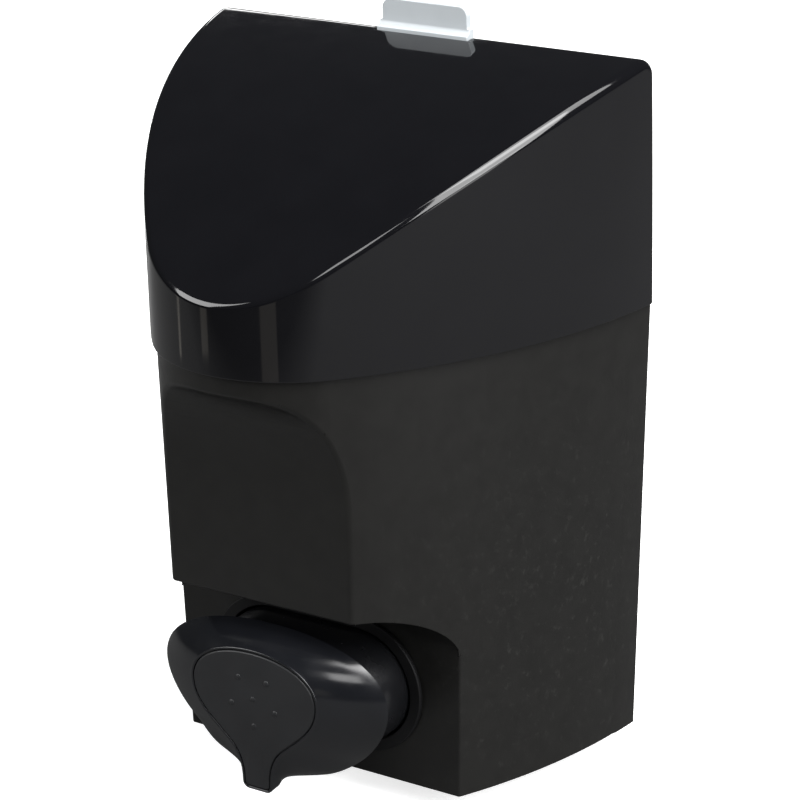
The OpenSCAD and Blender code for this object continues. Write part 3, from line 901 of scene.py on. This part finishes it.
        def rim(at: Place) -> bool:
            """Tells whether an edge is on the lid's lower rim or round the notch.

            Args:
                at: The middle of the edge.

            Returns:
                True if it is.
            """
            low = at[2] < self.seam + 0.05
            edge = abs(at[0]) < middle and at[1] < self.notch_depth + 1 and at[2] > lip - 0.5
            return low or edge
        round_edges(lid, self.rim_round, 2, 40, rim, clamp=False)
        smooth(lid)
        self.finishes.fit(lid, "lid", Body.LID, self.finishes.lid, "gloss_black")


# ---------- reservoir ----------

@dataclass
class Reservoir:
    """The tank: a barrel that narrows downwards, with a facet, an alcove and a well in its front."""

    finishes: Finishes
    plan: Plan
    seam: float = span("lid")[0][2]
    top: float = span("reservoir")[1][2]
    bottom_half: float = 58.0
    overhang: float = 1.25
    wall: float = 2.4
    floor: float = 3.0
    channel: float = 6.5
    rim_inset: float = 2.8
    rim_height: float = 6.0
    facet: float = 82.7
    facet_top: float = 111.0
    ledge_depth: float = 15.0
    ledge_height: float = 30.0
    crease_width: float = 1.0
    crease_clear: float = 1.8
    edge_width: float = 0.45
    alcove_half: float = 42.3
    alcove_top: float = 52.7
    alcove_r: float = 15.0
    alcove_back: float = 59.0
    well_back: float = 44.0
    well_r: float = 16.7
    well_span: float = 13.0
    pump_up: float = 25.0
    pump_hole_r: float = 10.2
    cheek: float = 4.0
    hook_rows: Flat = (28.0, 66.0)
    hook_x: float = 38.0
    hook_half: float = 5.0
    hook_thick: float = 3.0
    hanger_top: float = 9.1
    hanger_rear: float = 1.3
    hanger_front: float = 2.9
    lug_half: float = 7.0
    lug_tip: float = 4.9
    lug_low: float = 153.5
    lug_top: float = 157.8
    lug_step: float = 1.6
    hair: float = 0.05

    def barrel(self, name: str, inset: float, rear: float, low: float, high: float,
               step: float = 2.0) -> Piece:
        """A solid with the shell's outline that narrows towards the bottom.

        Args:
            name: The piece's name.
            inset: How far inwards of the lid's outline it lies.
            rear: The forward distance of its flat rear.
            low: The height of its bottom.
            high: The height of its top.
            step: The distance between points round it.

        Returns:
            The solid.
        """
        narrow = self.bottom_half / (self.plan.half_width - self.overhang)
        rings = []
        for z in (low, high):
            outline = self.plan.outline(inset, rear, step, mix(narrow, 1.0, z / self.seam))
            clear = self.crease_clear * self.crease_width
            rings.append([(x, f, z) for x, f in outline if abs(f - self.facet) > clear])
        return loft(name, rings)

    def cuts(self, grow: float) -> list[Piece]:
        """The solids that shape the front: over the facet, in the alcove and in the pump's well.

        Args:
            grow: How far each stands out past the reservoir's outside, for the inside's walls.

        Returns:
            The three solids.
        """
        far, half = self.plan.depth + 10, self.plan.half_width + 2
        back, top = self.facet - grow, self.facet_top + grow
        deep, high = self.ledge_depth + grow, self.ledge_height + grow
        curve = [(back + deep * (1 + x), top - high * (1 - z)) for x, z in arc((0, 0), 1, 180, 90, 24)]
        ledge = [(far, -1.0), (back, -1.0), *curve, (far, top)]
        facet = block("facet_cut", ledge, Along.X, -half, half)
        half, top, r = self.alcove_half + grow, self.alcove_top + grow, self.alcove_r + grow
        arch = [(half, -1.0), *arc((half - r, top - r), r, 0, 90, 16),
                *arc((r - half, top - r), r, 90, 180, 16), (-half, -1.0)]
        alcove = block("alcove_cut", arch, Along.FORWARD, self.alcove_back - grow, far)
        oval = stadium(self.well_span, self.well_r + grow, (0, self.pump_up), 24)
        well = block("well_cut", oval, Along.FORWARD, self.well_back - grow, self.alcove_back + 1)
        return [facet, alcove, well]

    def hanger(self, side: int, up: float) -> Piece:
        """One hanger on the rear of the tank, which drops over a hook.

        Args:
            side: 1 on the right, -1 on the left.
            up: The height of its hook.

        Returns:
            The hanger.
        """
        panel, low, high = self.channel + self.hair, up + self.hook_thick, up + self.hanger_top
        outline = [(panel, high), (panel, low), (self.hanger_rear, low), (self.hanger_rear, low + 0.3),
                   (self.hanger_front, low + 0.3), (self.hanger_front, high)]
        middle = side * self.hook_x
        return block("hanger", outline, Along.X, middle - self.hook_half, middle + self.hook_half)

    def build(self) -> None:
        """Builds the tank from its barrel, hollows it, shapes its front and dresses it."""
        tank = self.barrel("reservoir_tank", self.overhang, 0.0, 0.0, self.seam)
        recess = self.bottom_half - self.cheek
        combine(tank, [brick("recess", (-recess, -1, -1), (recess, self.channel, self.seam + 1))])
        rim = block("rim", self.plan.outline(self.rim_inset, self.channel), Along.UP, self.seam - 0.5,
                    self.seam + self.rim_height)
        edge = self.plan.half_width - self.rim_inset - 0.9
        panel = brick("panel", (-edge, self.channel, self.seam - 0.5),
                      (edge, self.channel + self.wall, self.top))
        root = self.channel + self.hair
        outline = [(root, self.lug_low), (root, self.lug_top), (self.lug_tip, self.lug_top),
                   (self.lug_tip, self.lug_low + self.lug_step)]
        lug = block("lug", outline, Along.X, -self.lug_half, self.lug_half)
        hangers = [self.hanger(side, up) for up in self.hook_rows for side in (-1, 1)]
        combine(tank, [rim, panel, lug, *hangers], Join.ADD)
        thick = self.overhang + self.wall + 0.8
        inside = self.barrel("inside", thick, self.channel + self.wall, self.floor, self.seam + 20, 3.0)
        combine(inside, self.cuts(self.wall))
        combine(tank, [inside, *self.cuts(0.0)])
        rear = self.well_back - self.wall - 1
        hole = rod("pump_hole", self.pump_hole_r, (0, self.pump_up), rear, self.well_back + 1, 24)
        combine(tank, [hole])
        clean(tank)
        self.soften(tank)
        smooth(tank, 34)
        self.finishes.fit(tank, "reservoir", Body.DISPENSER, self.finishes.tank, "satin_black")

    def soften(self, tank: Piece) -> None:
        """Rounds the facet's long creases widely and the other outer edges finely.

        Args:
            tank: The tank.
        """
        def crease(at: Place) -> bool:
            """Tells whether an edge is where the facet and its ledge meet the barrel."""
            ahead = at[1] > self.facet - 0.05
            return ahead and 1 < at[2] < self.facet_top + 0.5

        def other(at: Place) -> bool:
            """Tells whether an edge is any other one on the tank's outside."""
            outer = at[2] < self.seam - 0.5 and at[1] > self.channel + self.wall + 1
            return outer and not crease(at)
        round_edges(tank, self.crease_width, 3, 16, crease, clamp=False)
        round_edges(tank, self.edge_width, 2, 50, other, clamp=False)


# ---------- push button ----------

@dataclass
class PushButton:
    """The push button: a teardrop shell that narrows forwards and ends below in a beak."""

    finishes: Finishes
    half_width: float = 33.5
    top: float = 45.5
    beak: float = span("push_button")[0][2] + 0.9
    pad_half_width: float = 18.2
    pad_top: float = 41.0
    neck: float = 4.8
    pad_neck: float = 3.6
    face: float = span("push_button")[1][1]
    rim: float = span("push_button")[1][1] - 9.1
    beak_rim: float = span("push_button")[1][1] - 2.1
    floor: float = span("push_button")[1][1] - 0.8
    wall: float = 2.0
    border: float = 0.9
    bulge: float = 0.25
    screw_up: float = 32.7
    hole_r: float = 1.7
    seat_r: float = 3.2
    seat_depth: float = 0.8
    post_x: float = 11.2
    post_up: float = 25.0
    post_r: float = 2.0
    steps: int = 20
    lip_depth: float = 0.45
    lip_steps: int = 6
    border_shape: tuple[Flat, ...] = ((-0.86, -0.13), (-0.78, -0.03), (-0.66, 0.0), (-0.42, 0.0),
                                      (-0.28, -0.05), (-0.2, -0.16))
    pocket_gap: float = 0.15
    border_foot: float = 0.25
    inner_start: float = 0.04
    pad_rise: float = 0.12
    pad_round: float = 0.45
    pad_crown: float = 0.28
    pad_middle: Flat = (0.0, 25.5)
    dots: tuple[Flat, ...] = ((4.2, 34.0), (-4.2, 34.0), (6.5, 26.5), (-6.5, 26.5), (0.0, 28.8),
                              (0.0, 21.5))
    dot_r: float = 0.8
    dot_rise: float = 0.3
    skirt_drop: float = 3.5
    skirt_bend: float = 62.0
    skirt_wall: float = 1.6
    skirt_hole: float = 6.3
    skirt_round: float = 1.2
    skirt_edge: float = 0.3

    def whole(self, half: list[Flat]) -> list[Flat]:
        """Adds the left half to the right half of an outline."""
        return half + [(-x, z) for x, z in reversed(half[1:])]

    def tip(self, half: float, radius: float) -> list[Flat]:
        """Rounds the beak's lower corner, which is half away from the middle."""
        return arc((half - radius, self.beak + radius), radius, 0, -90, 4)

    def rim_outline(self) -> list[Flat]:
        """The rim seen from the front, from its top round its right side to the beak.

        Returns:
            The outline.
        """
        w, t, b = self.half_width, self.top, self.beak
        right = bezier((0, t), (0.6 * w, t), (w, t - 6), (w, t - 16), self.steps)
        right += bezier((w, t - 16), (w, t - 24), (0.75 * w, b + 7.5), (w / 2, b + 5), self.steps)
        right += bezier((w / 2, b + 5), (0.28 * w, b + 3), (self.neck + 0.4, b + 3),
                        (self.neck, b + 1.3), self.steps)
        return self.whole(right + self.tip(self.neck, 1.2))

    def pad_outline(self) -> list[Flat]:
        """The thumb pad seen from the front, with as many points as the rim.

        Returns:
            The outline.
        """
        w, t, b = self.pad_half_width, self.pad_top, self.beak
        right = bezier((0, t), (0.57 * w, t), (w, t - 4), (w, t - 10.5), self.steps)
        right += bezier((w, t - 10.5), (w, t - 18), (0.54 * w, b + 14.5), (w / 3, b + 10), self.steps)
        right += bezier((w / 3, b + 10), (0.22 * w, b + 7), (self.pad_neck, b + 4),
                        (self.pad_neck, b + 1.3), self.steps)
        return self.whole(right + self.tip(self.pad_neck, 1.0))

    def rim_at(self, up: float) -> float:
        """How far forward the rim lies at a height: it runs forward into the beak."""
        share = max(0.0, min(1.0, (self.beak + 9.5 - up) / 9.5))
        return mix(self.rim, self.beak_rim, share ** 1.5)

    def band(self, inset: float, front: float, steps: int, start: float = 0.0) -> list[list[Place]]:
        """Rings from the rim forwards to the front edge.

        Args:
            inset: How far inwards of the outside they lie.
            front: The forward distance of the front edge.
            steps: Steps from the rim to the front.
            start: The share of the way at which the first ring lies.

        Returns:
            The rings.
        """
        rim = moved_in(self.rim_outline(), inset)
        pad = moved_in(self.pad_outline(), inset - self.border)
        rings = []
        for k in range(steps + 1):
            t = mix(start, 1, k / steps)
            turn = math.radians(90 * t)
            narrow = mix(t, 1 - math.cos(turn), self.bulge)
            ahead = mix(t, math.sin(turn), self.bulge)
            ring = []
            for outer, inner in zip(rim, pad):
                x, z = mix_flat(outer, inner, narrow)
                ring.append((x, mix(self.rim_at(outer[1]), front, ahead), z))
            rings.append(ring)
        return rings

    def lip(self, outside: list[Place], inside: list[Place]) -> list[list[Place]]:
        """Rounds the rim over from its inside to its outside.

        Args:
            outside: The rim's outer ring.
            inside: Its inner ring.

        Returns:
            The rings between the two.
        """
        rings = []
        for k in range(1, self.lip_steps):
            turn = math.pi * k / self.lip_steps
            share, back = (1 - math.cos(turn)) / 2, self.lip_depth * math.sin(turn)
            rings.append([tuple(mix(p[i], q[i], share) - (back if i == 1 else 0) for i in range(3))
                          for p, q in zip(inside, outside)])
        return rings

    def border_rings(self) -> list[list[Place]]:
        """The raised border round the pad: over its top and down into the pocket.

        Returns:
            The rings.
        """
        pad = self.pad_outline()
        rings = [[(x, self.face + rise, z) for x, z in moved_in(pad, inset)]
                 for inset, rise in self.border_shape]
        return [*rings, [(x, self.floor, z) for x, z in moved_in(pad, -self.pocket_gap)]]

    def build(self) -> None:
        """Builds the shell, the pad, its dots and the drum."""
        self.build_shell()
        self.build_pad()
        self.build_dots()
        self.build_skirt()

    def build_shell(self) -> None:
        """Builds the button's shell with its pocket, posts and screw hole."""
        outside = self.band(0.0, self.face - self.border_foot, 18)
        inside = self.band(self.wall, self.floor - self.wall, 10, self.inner_start)
        rings = [*reversed(inside), *self.lip(outside[0], inside[0]), *outside, *self.border_rings()]
        shell = loft("push_button_shell", rings)
        posts = [rod("post", self.post_r, (side * self.post_x, self.post_up), span("button_skirt")[1][1],
                     self.floor - 1) for side in (-1, 1)]
        combine(shell, posts, Join.ADD, Solver.MANIFOLD)
        centre = (0, self.screw_up)
        hole = rod("hole", self.hole_r, centre, self.rim, self.face + 1)
        seat = rod("seat", self.seat_r, centre, self.floor - self.seat_depth, self.face + 1)
        combine(shell, [hole, seat], Join.REMOVE, Solver.MANIFOLD)
        smooth(clean(shell), 50)
        self.finishes.fit(shell, "push_button", Body.PUMP, self.finishes.button, "button_black")

    def build_pad(self) -> None:
        """Builds the thumb pad, with a rounded edge and a slight crown."""
        pad, low = self.pad_outline(), self.floor
        front, edge = self.face + self.pad_rise, self.pad_round
        rings = [[(x, low, z) for x, z in pad]]
        for turn in (0, 22, 45, 68, 90):
            a = math.radians(turn)
            inset = edge * (1 - math.cos(a))
            rings.append([(x, front - edge + edge * math.sin(a), z) for x, z in moved_in(pad, inset)])
        last = moved_in(pad, edge)
        for share in (0.95, 0.85, 0.7, 0.5, 0.3, 0.12):
            rise = self.pad_crown * (1 - share * share)
            rings.append([(x, front + rise, z)
                          for x, z in (mix_flat(self.pad_middle, p, share) for p in last)])
        piece = smooth(loft("thumb_pad_face", rings))
        self.finishes.fit(piece, "thumb_pad", Body.PUMP, self.finishes.pad, "pad_charcoal")

    def build_dots(self) -> None:
        """Scatters the pad's six raised dots over their places."""
        places = [(x, self.face + self.dot_rise, z) for x, z in self.dots]
        mesh = bpy.data.meshes.new("pad_dots")
        mesh.from_pydata([place(p) for p in places], [], [])
        piece = put("pad_dots", mesh)
        run_tree(piece, dot_tree(self.finishes.material(self.finishes.pad)),
                 {"Radius": self.dot_r * MM, "Rise": self.dot_rise * MM})
        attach(piece, Body.PUMP.value)
        self.finishes.dress(piece, self.finishes.pad, "pad_charcoal")

    def build_skirt(self) -> None:
        """Builds the drum behind the button that slides in the guide."""
        low, high = span("button_skirt")
        up, r = (low[2] + high[2]) / 2, (high[2] - low[2]) / 2
        straight, rear, front = high[0] - r, low[1], high[1]
        wall, hole, nose, rim = self.skirt_wall, self.skirt_hole, self.skirt_round, self.skirt_edge
        small, bend = r - self.skirt_drop, front - nose
        rounding = [(straight, small - nose + nose * math.sin(a), bend + nose * math.cos(a))
                    for a in (math.radians(15 * k) for k in range(7))]
        taper = [(straight, r - self.skirt_drop * t * t, mix(self.skirt_bend, bend, t))
                 for t in (0.875, 0.75, 0.625, 0.5, 0.375, 0.25, 0.125, 0.0)]
        shape = [(0.0, hole, front), *rounding, *taper,
                 (straight, r, rear + rim), (straight, r - rim, rear), (straight, r - wall + rim, rear),
                 (straight, r - wall, rear + rim), (straight, r - wall, self.skirt_bend),
                 (straight, small - wall, front - wall), (0.0, hole, front - wall)]
        rings = [[(x, f, z) for x, z in stadium(half, radius, (0, up), 40)] for half, radius, f in shape]
        piece = smooth(clean(loft("button_skirt_drum", rings, closed=True)))
        self.finishes.fit(piece, "button_skirt", Body.PUMP, self.finishes.skirt, "button_black")


# ---------- what repeats ----------

def run_tree(piece: Piece, tree: bpy.types.NodeTree, values: dict[str, object]) -> None:
    """Runs a geometry tree on a piece and keeps the result as its plain mesh.

    Args:
        piece: The piece that the tree starts from.
        tree: The tree.
        values: Its inputs, by name.
    """
    modifier = piece.modifiers.new("shape", "NODES")
    modifier.node_group = tree
    for item in tree.interface.items_tree:
        if item.item_type == "SOCKET" and item.in_out == "INPUT" and item.name in values:
            modifier[item.identifier] = values[item.name]
    settle(piece)


def start_tree(name: str, inputs: dict[str, str]) -> bpy.types.NodeTree:
    """Starts a geometry tree that has named inputs.

    Args:
        name: The tree's name.
        inputs: The type of each further input, by name.

    Returns:
        The tree, with its group input and output.
    """
    tree = bpy.data.node_groups.new(name, "GeometryNodeTree")
    tree.interface.new_socket("Geometry", in_out="INPUT", socket_type="NodeSocketGeometry")
    for key, kind in inputs.items():
        tree.interface.new_socket(key, in_out="INPUT", socket_type=kind)
    tree.interface.new_socket("Geometry", in_out="OUTPUT", socket_type="NodeSocketGeometry")
    tree.nodes.new("NodeGroupInput").name = "in"
    tree.nodes.new("NodeGroupOutput").name = "out"
    return tree


def end_tree(tree: bpy.types.NodeTree, made: bpy.types.NodeSocket, material: bpy.types.Material) -> None:
    """Ends a geometry tree: makes the instances real and sets the material.

    Args:
        tree: The tree.
        made: The socket of what it has made.
        material: The material that it sets.
    """
    real = add_node(tree, "GeometryNodeRealizeInstances", {0: made}).outputs[0]
    dressed = add_node(tree, "GeometryNodeSetMaterial", {"Geometry": real, "Material": material})
    feed(tree.nodes["out"], 0, dressed.outputs[0])


def dot_tree(material: bpy.types.Material) -> bpy.types.NodeTree:
    """Puts a low dome on each of the starting points.

    Args:
        material: The dots' material.

    Returns:
        The tree.
    """
    tree = start_tree("dots", {"Radius": "NodeSocketFloat", "Rise": "NodeSocketFloat"})
    given = tree.nodes["in"].outputs
    ball = add_node(tree, "GeometryNodeMeshUVSphere", {"Segments": 28, "Rings": 14, "Radius": 1.0})
    size = add_node(tree, "ShaderNodeCombineXYZ", {"X": given["Radius"], "Y": given["Rise"],
                                                   "Z": given["Radius"]})
    spread = add_node(tree, "GeometryNodeInstanceOnPoints", {
        "Points": given["Geometry"], "Instance": ball.outputs["Mesh"], "Scale": size.outputs[0]})
    shade = add_node(tree, "GeometryNodeSetShadeSmooth", {"Geometry": spread.outputs[0]})
    end_tree(tree, shade.outputs[0], material)
    return tree


def coil_tree(material: bpy.types.Material) -> bpy.types.NodeTree:
    """Sweeps a round wire along a helix that starts at the origin and rises along z.

    Args:
        material: The wire's material.

    Returns:
        The tree.
    """
    tree = start_tree("coil", {"Radius": "NodeSocketFloat", "Height": "NodeSocketFloat",
                               "Turns": "NodeSocketFloat", "Wire": "NodeSocketFloat",
                               "Place": "NodeSocketVector", "Turn": "NodeSocketVector"})
    given = tree.nodes["in"].outputs
    helix = add_node(tree, "GeometryNodeCurveSpiral", {
        "Resolution": 40, "Start Radius": given["Radius"], "End Radius": given["Radius"],
        "Height": given["Height"], "Rotations": given["Turns"]})
    wire = add_node(tree, "GeometryNodeCurvePrimitiveCircle", {"Resolution": 14,
                                                               "Radius": given["Wire"]})
    sweep = add_node(tree, "GeometryNodeCurveToMesh", {
        "Curve": helix.outputs["Curve"], "Profile Curve": wire.outputs["Curve"], "Fill Caps": True})
    move = add_node(tree, "GeometryNodeTransform", {
        "Geometry": sweep.outputs["Mesh"], "Translation": given["Place"], "Rotation": given["Turn"]})
    end_tree(tree, move.outputs["Geometry"], material)
    return tree


# ---------- pump, catch and wall plate ----------

@dataclass
class Pump:
    """The pump's fixed and moving parts behind the button."""

    finishes: Finishes
    wire: float = 0.5
    turns: float = 6.0
    travel: float = 12.0
    axis_up: float = 25.0

    def build_spring(self) -> None:
        """Builds the coil between the cylinder's cap and the spout's socket."""
        low, high = span("return_spring")
        full = high[1] - low[1]
        piece = put("return_coil", bpy.data.meshes.new("return_coil"))
        at = place((0, low[1] + self.wire, (low[2] + high[2]) / 2))
        run_tree(piece, coil_tree(self.finishes.material(self.finishes.steel)), {
            "Radius": (high[0] - self.wire) * MM, "Height": (full - 2 * self.wire) * MM,
            "Turns": self.turns, "Wire": self.wire * MM, "Place": at, "Turn": (math.pi / 2, 0, 0)})
        piece.data.shade_smooth()
        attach(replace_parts(piece, "return_spring"), Body.DISPENSER.value)
        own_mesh(piece)
        self.finishes.dress(piece, self.finishes.steel, "steel")

    def build(self) -> None:
        """Builds every part of the pump but the button."""
        self.build_spring()
        looks = self.finishes
        plain, steel = (looks.pump, "pump_plastic"), (looks.steel, "steel")
        rubber = (looks.rubber, "seal_rubber")
        parts = (("cylinder_body", "pump_cylinder", 0.4, Body.DISPENSER, *plain),
                 ("cylinder_cap_ring", "cylinder_cap", 0.3, Body.DISPENSER, *plain),
                 ("nut_ring", "lock_nut", 0.4, Body.DISPENSER, *plain),
                 ("strainer_cup", "inlet_strainer", 0.12, Body.DISPENSER, *plain),
                 ("guide_ring", "button_guide", 0.35, Body.DISPENSER, looks.guide, "satin_black"),
                 ("spout_tube", "spout", 0.25, Body.PUMP, *plain),
                 ("stem_tube", "pump_stem", 0.25, Body.PUMP, *plain),
                 ("piston_head", "piston", 0.25, Body.PUMP, *plain),
                 ("duckbill", "nozzle_valve", 0.1, Body.PUMP, looks.silicone, "valve_silicone"))
        for name, node, width, *rest in parts:
            looks.fit(softened(name, node, width), node, *rest)
        for node, finish in (("stem_seal", rubber), ("flange_gasket", rubber), ("piston_seal", rubber),
                             ("inlet_seat", plain), ("inlet_ball", steel), ("button_screw", steel)):
            looks.dress_node(node, *finish)


@dataclass
class WallMount:
    """The wall plate with its hooks, and the release catch on its pin."""

    finishes: Finishes
    leaf_up: float = 130.0
    leaf_keep: float = 0.2

    def build(self) -> None:
        """Builds the plate, the catch, its pin and its leaf spring."""
        looks = self.finishes
        grey = (looks.grey, "grey_plastic")
        looks.fit(softened("mounting_plate", "wall_plate", 0.4), "wall_plate", Body.DISPENSER, *grey)
        lever = softened("release_lever", "catch_lever", 0.35, 3, 25)
        looks.fit(lever, "catch_lever", Body.CATCH, *grey)
        looks.dress_node("catch_pin", looks.steel, "steel")
        leaf = softened("leaf_spring", "catch_spring", 0.05)
        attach(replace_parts(leaf, "catch_spring"), Body.DISPENSER.value)
        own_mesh(leaf)
        looks.dress(leaf, looks.steel, "steel")


# ---------- studio ----------

@dataclass
class Studio:
    """The pale floor, the soft lights and the camera."""

    floor_gap: float = 6.0
    floor_size: float = 30000.0
    floor_glow: float = 0.75
    # Painted shade of the floor's dark copy, from 0.03 at the front to 0.14 further back, seen only in
    # reflections and bounced light.
    floor_painted_shade: tuple[float, ...] = (0.03, 0.14, -0.44, -0.32)
    sky: tuple[float, ...] = (0.9, 0.95, 1.0, 1)
    sky_strength: float = 0.055
    azimuth: float = 33.6
    elevation: float = 20.2
    roll: float = -1.4
    lens: float = 132.84
    distance: float = 731.2
    slide: Flat = (-16.99, -5.58)
    aim: Place = (0.0, 50.0, 89.0)
    lamps: tuple[tuple[str, Place, float, Flat, float], ...] = (
        ("overhead", (0.45, 0.05, 1.0), 1.5, (1.1, 1.1), 24),
        ("right_edge", (0.72, -0.15, 0.66), 1.3, (0.8, 1.5), 34),
        ("front_left", (-0.75, -0.75, 0.5), 1.6, (0.7, 1.1), 18),
        ("behind_left", (-0.6, 0.7, 0.42), 1.2, (0.3, 0.2), 1.2),
        ("front_edge", (0.41, -0.65, 0.65), 1.2, (0.35, 0.35), 2.5),
        ("low_left", (-0.83, 0.5, -0.08), 0.5, (0.12, 0.07), 0.12),
        ("low_right", (0.98, -0.12, 0.1), 1.0, (0.3, 0.5), 1.5))
    cards: tuple[tuple[str, float, Flat, float], ...] = (
        ("card_left", -62, (0.012, 0.04), 0.001), ("card_middle", -36, (0.03, 0.03), 0.0012),
        ("card_right", 14, (0.06, 0.05), 0.0028))
    card_fall: float = -0.15
    card_away: float = 0.3
    card_colour: Colour = (1.0, 0.93, 0.82)

    def build_camera(self) -> None:
        """Makes the camera and looks at the shell's middle from the front right."""
        a, e, r = (math.radians(v) for v in (self.azimuth, self.elevation, self.roll))
        ahead = Vector((-math.sin(a) * math.cos(e), math.cos(a) * math.cos(e), -math.sin(e)))
        level = Vector((math.cos(a), math.sin(a), 0))
        rise = level.cross(ahead)
        right = math.cos(r) * level + math.sin(r) * rise
        up = math.cos(r) * rise - math.sin(r) * level
        data = bpy.data.cameras.new("camera")
        data.lens = self.lens
        data.clip_start = 0.01
        data.clip_end = 60.0
        camera = put("camera", data)
        back = self.distance * ahead + self.slide[0] * right + self.slide[1] * up
        spot = place(self.aim) - MM * back
        turned = Matrix((right, up, -ahead)).transposed().to_4x4()
        camera.matrix_world = Matrix.Translation(spot) @ turned
        bpy.context.scene.camera = camera

    def build_floor(self) -> None:
        """Lays the pale floor: the camera sees it evenly bright, while every other ray sees a dark copy
        painted with shade, darker towards the front, so it throws little light back up.
        """
        half, down = self.floor_size / 2, -self.floor_gap
        floor = make_piece("floor", [(-half, -half, down), (half, -half, down), (half, half, down),
                                     (-half, half, down)], [(0, 1, 2, 3)])
        n = Nodes(bpy.data.materials.new("floor_white_with_painted_shade"))
        n.finish(Base_Color=(0.8, 0.8, 0.8, 1), Roughness=0.9, Specular_IOR_Level=0.0,
                 Emission_Color=(1, 1, 1, 1), Emission_Strength=self.floor_glow)
        along = n.add("ShaderNodeSeparateXYZ", {0: n.spot}).outputs["Y"]
        # Painted shade: every ray but the camera's sees this dark diffuse floor, darker towards the
        # front.
        dark = n.add("ShaderNodeBsdfDiffuse", {"Color": n.spread(along, *self.floor_painted_shade)})
        seen = n.add("ShaderNodeLightPath").outputs["Is Camera Ray"]
        either = n.add("ShaderNodeMixShader", {0: seen, 1: dark.outputs[0], 2: n.shader.outputs[0]})
        feed(n.tree.nodes["Material Output"], "Surface", either.outputs[0])
        floor.data.materials.append(n.material)

    def light(self, name: str, direction: Place, away: float, size: Flat, power: float,
              warmth: Colour = (1, 1, 1)) -> None:
        """Hangs a soft box that points at the shell.

        Args:
            name: The light's name.
            direction: The way to it from the shell, in the frame's axes.
            away: Its distance, in metres.
            size: Its width and height, in metres.
            power: Its power, in watts.
            warmth: Its colour.
        """
        data = bpy.data.lights.new(name, "AREA")
        data.shape = "RECTANGLE"
        data.size, data.size_y = size
        data.energy = power
        data.color = warmth
        box = put(name, data)
        box.location = place(self.aim) + away * Vector(direction).normalized()
        box.rotation_mode = "QUATERNION"
        box.rotation_quaternion = Vector(direction).to_track_quat("Z", "Y")

    def build(self) -> None:
        """Builds the floor, the lights, the dim surroundings and the camera."""
        self.build_camera()
        self.build_floor()
        for lamp in self.lamps:
            self.light(*lamp)
        for name, turn, size, power in self.cards:
            a = math.radians(turn)
            direction = (math.sin(a), -math.cos(a), self.card_fall)
            self.light(name, direction, self.card_away, size, power, self.card_colour)
        world = bpy.data.worlds.new("surroundings")
        world.use_nodes = True
        background = world.node_tree.nodes["Background"]
        feed(background, "Color", self.sky)
        feed(background, "Strength", self.sky_strength)
        bpy.context.scene.world = world
        bpy.context.scene.view_settings.view_transform = "Standard"


def main() -> None:
    """Builds the dispenser's sub-assemblies in order, then the studio."""
    logging.basicConfig(level=logging.INFO, format="%(name)s %(message)s")
    finishes, plan = Finishes(), Plan()
    for assembly in (WallMount(finishes), Reservoir(finishes, plan), Lid(finishes, plan), Pump(finishes),
                     PushButton(finishes)):
        assembly.build()
    Studio().build()


if __name__ == "__main__":
    main()
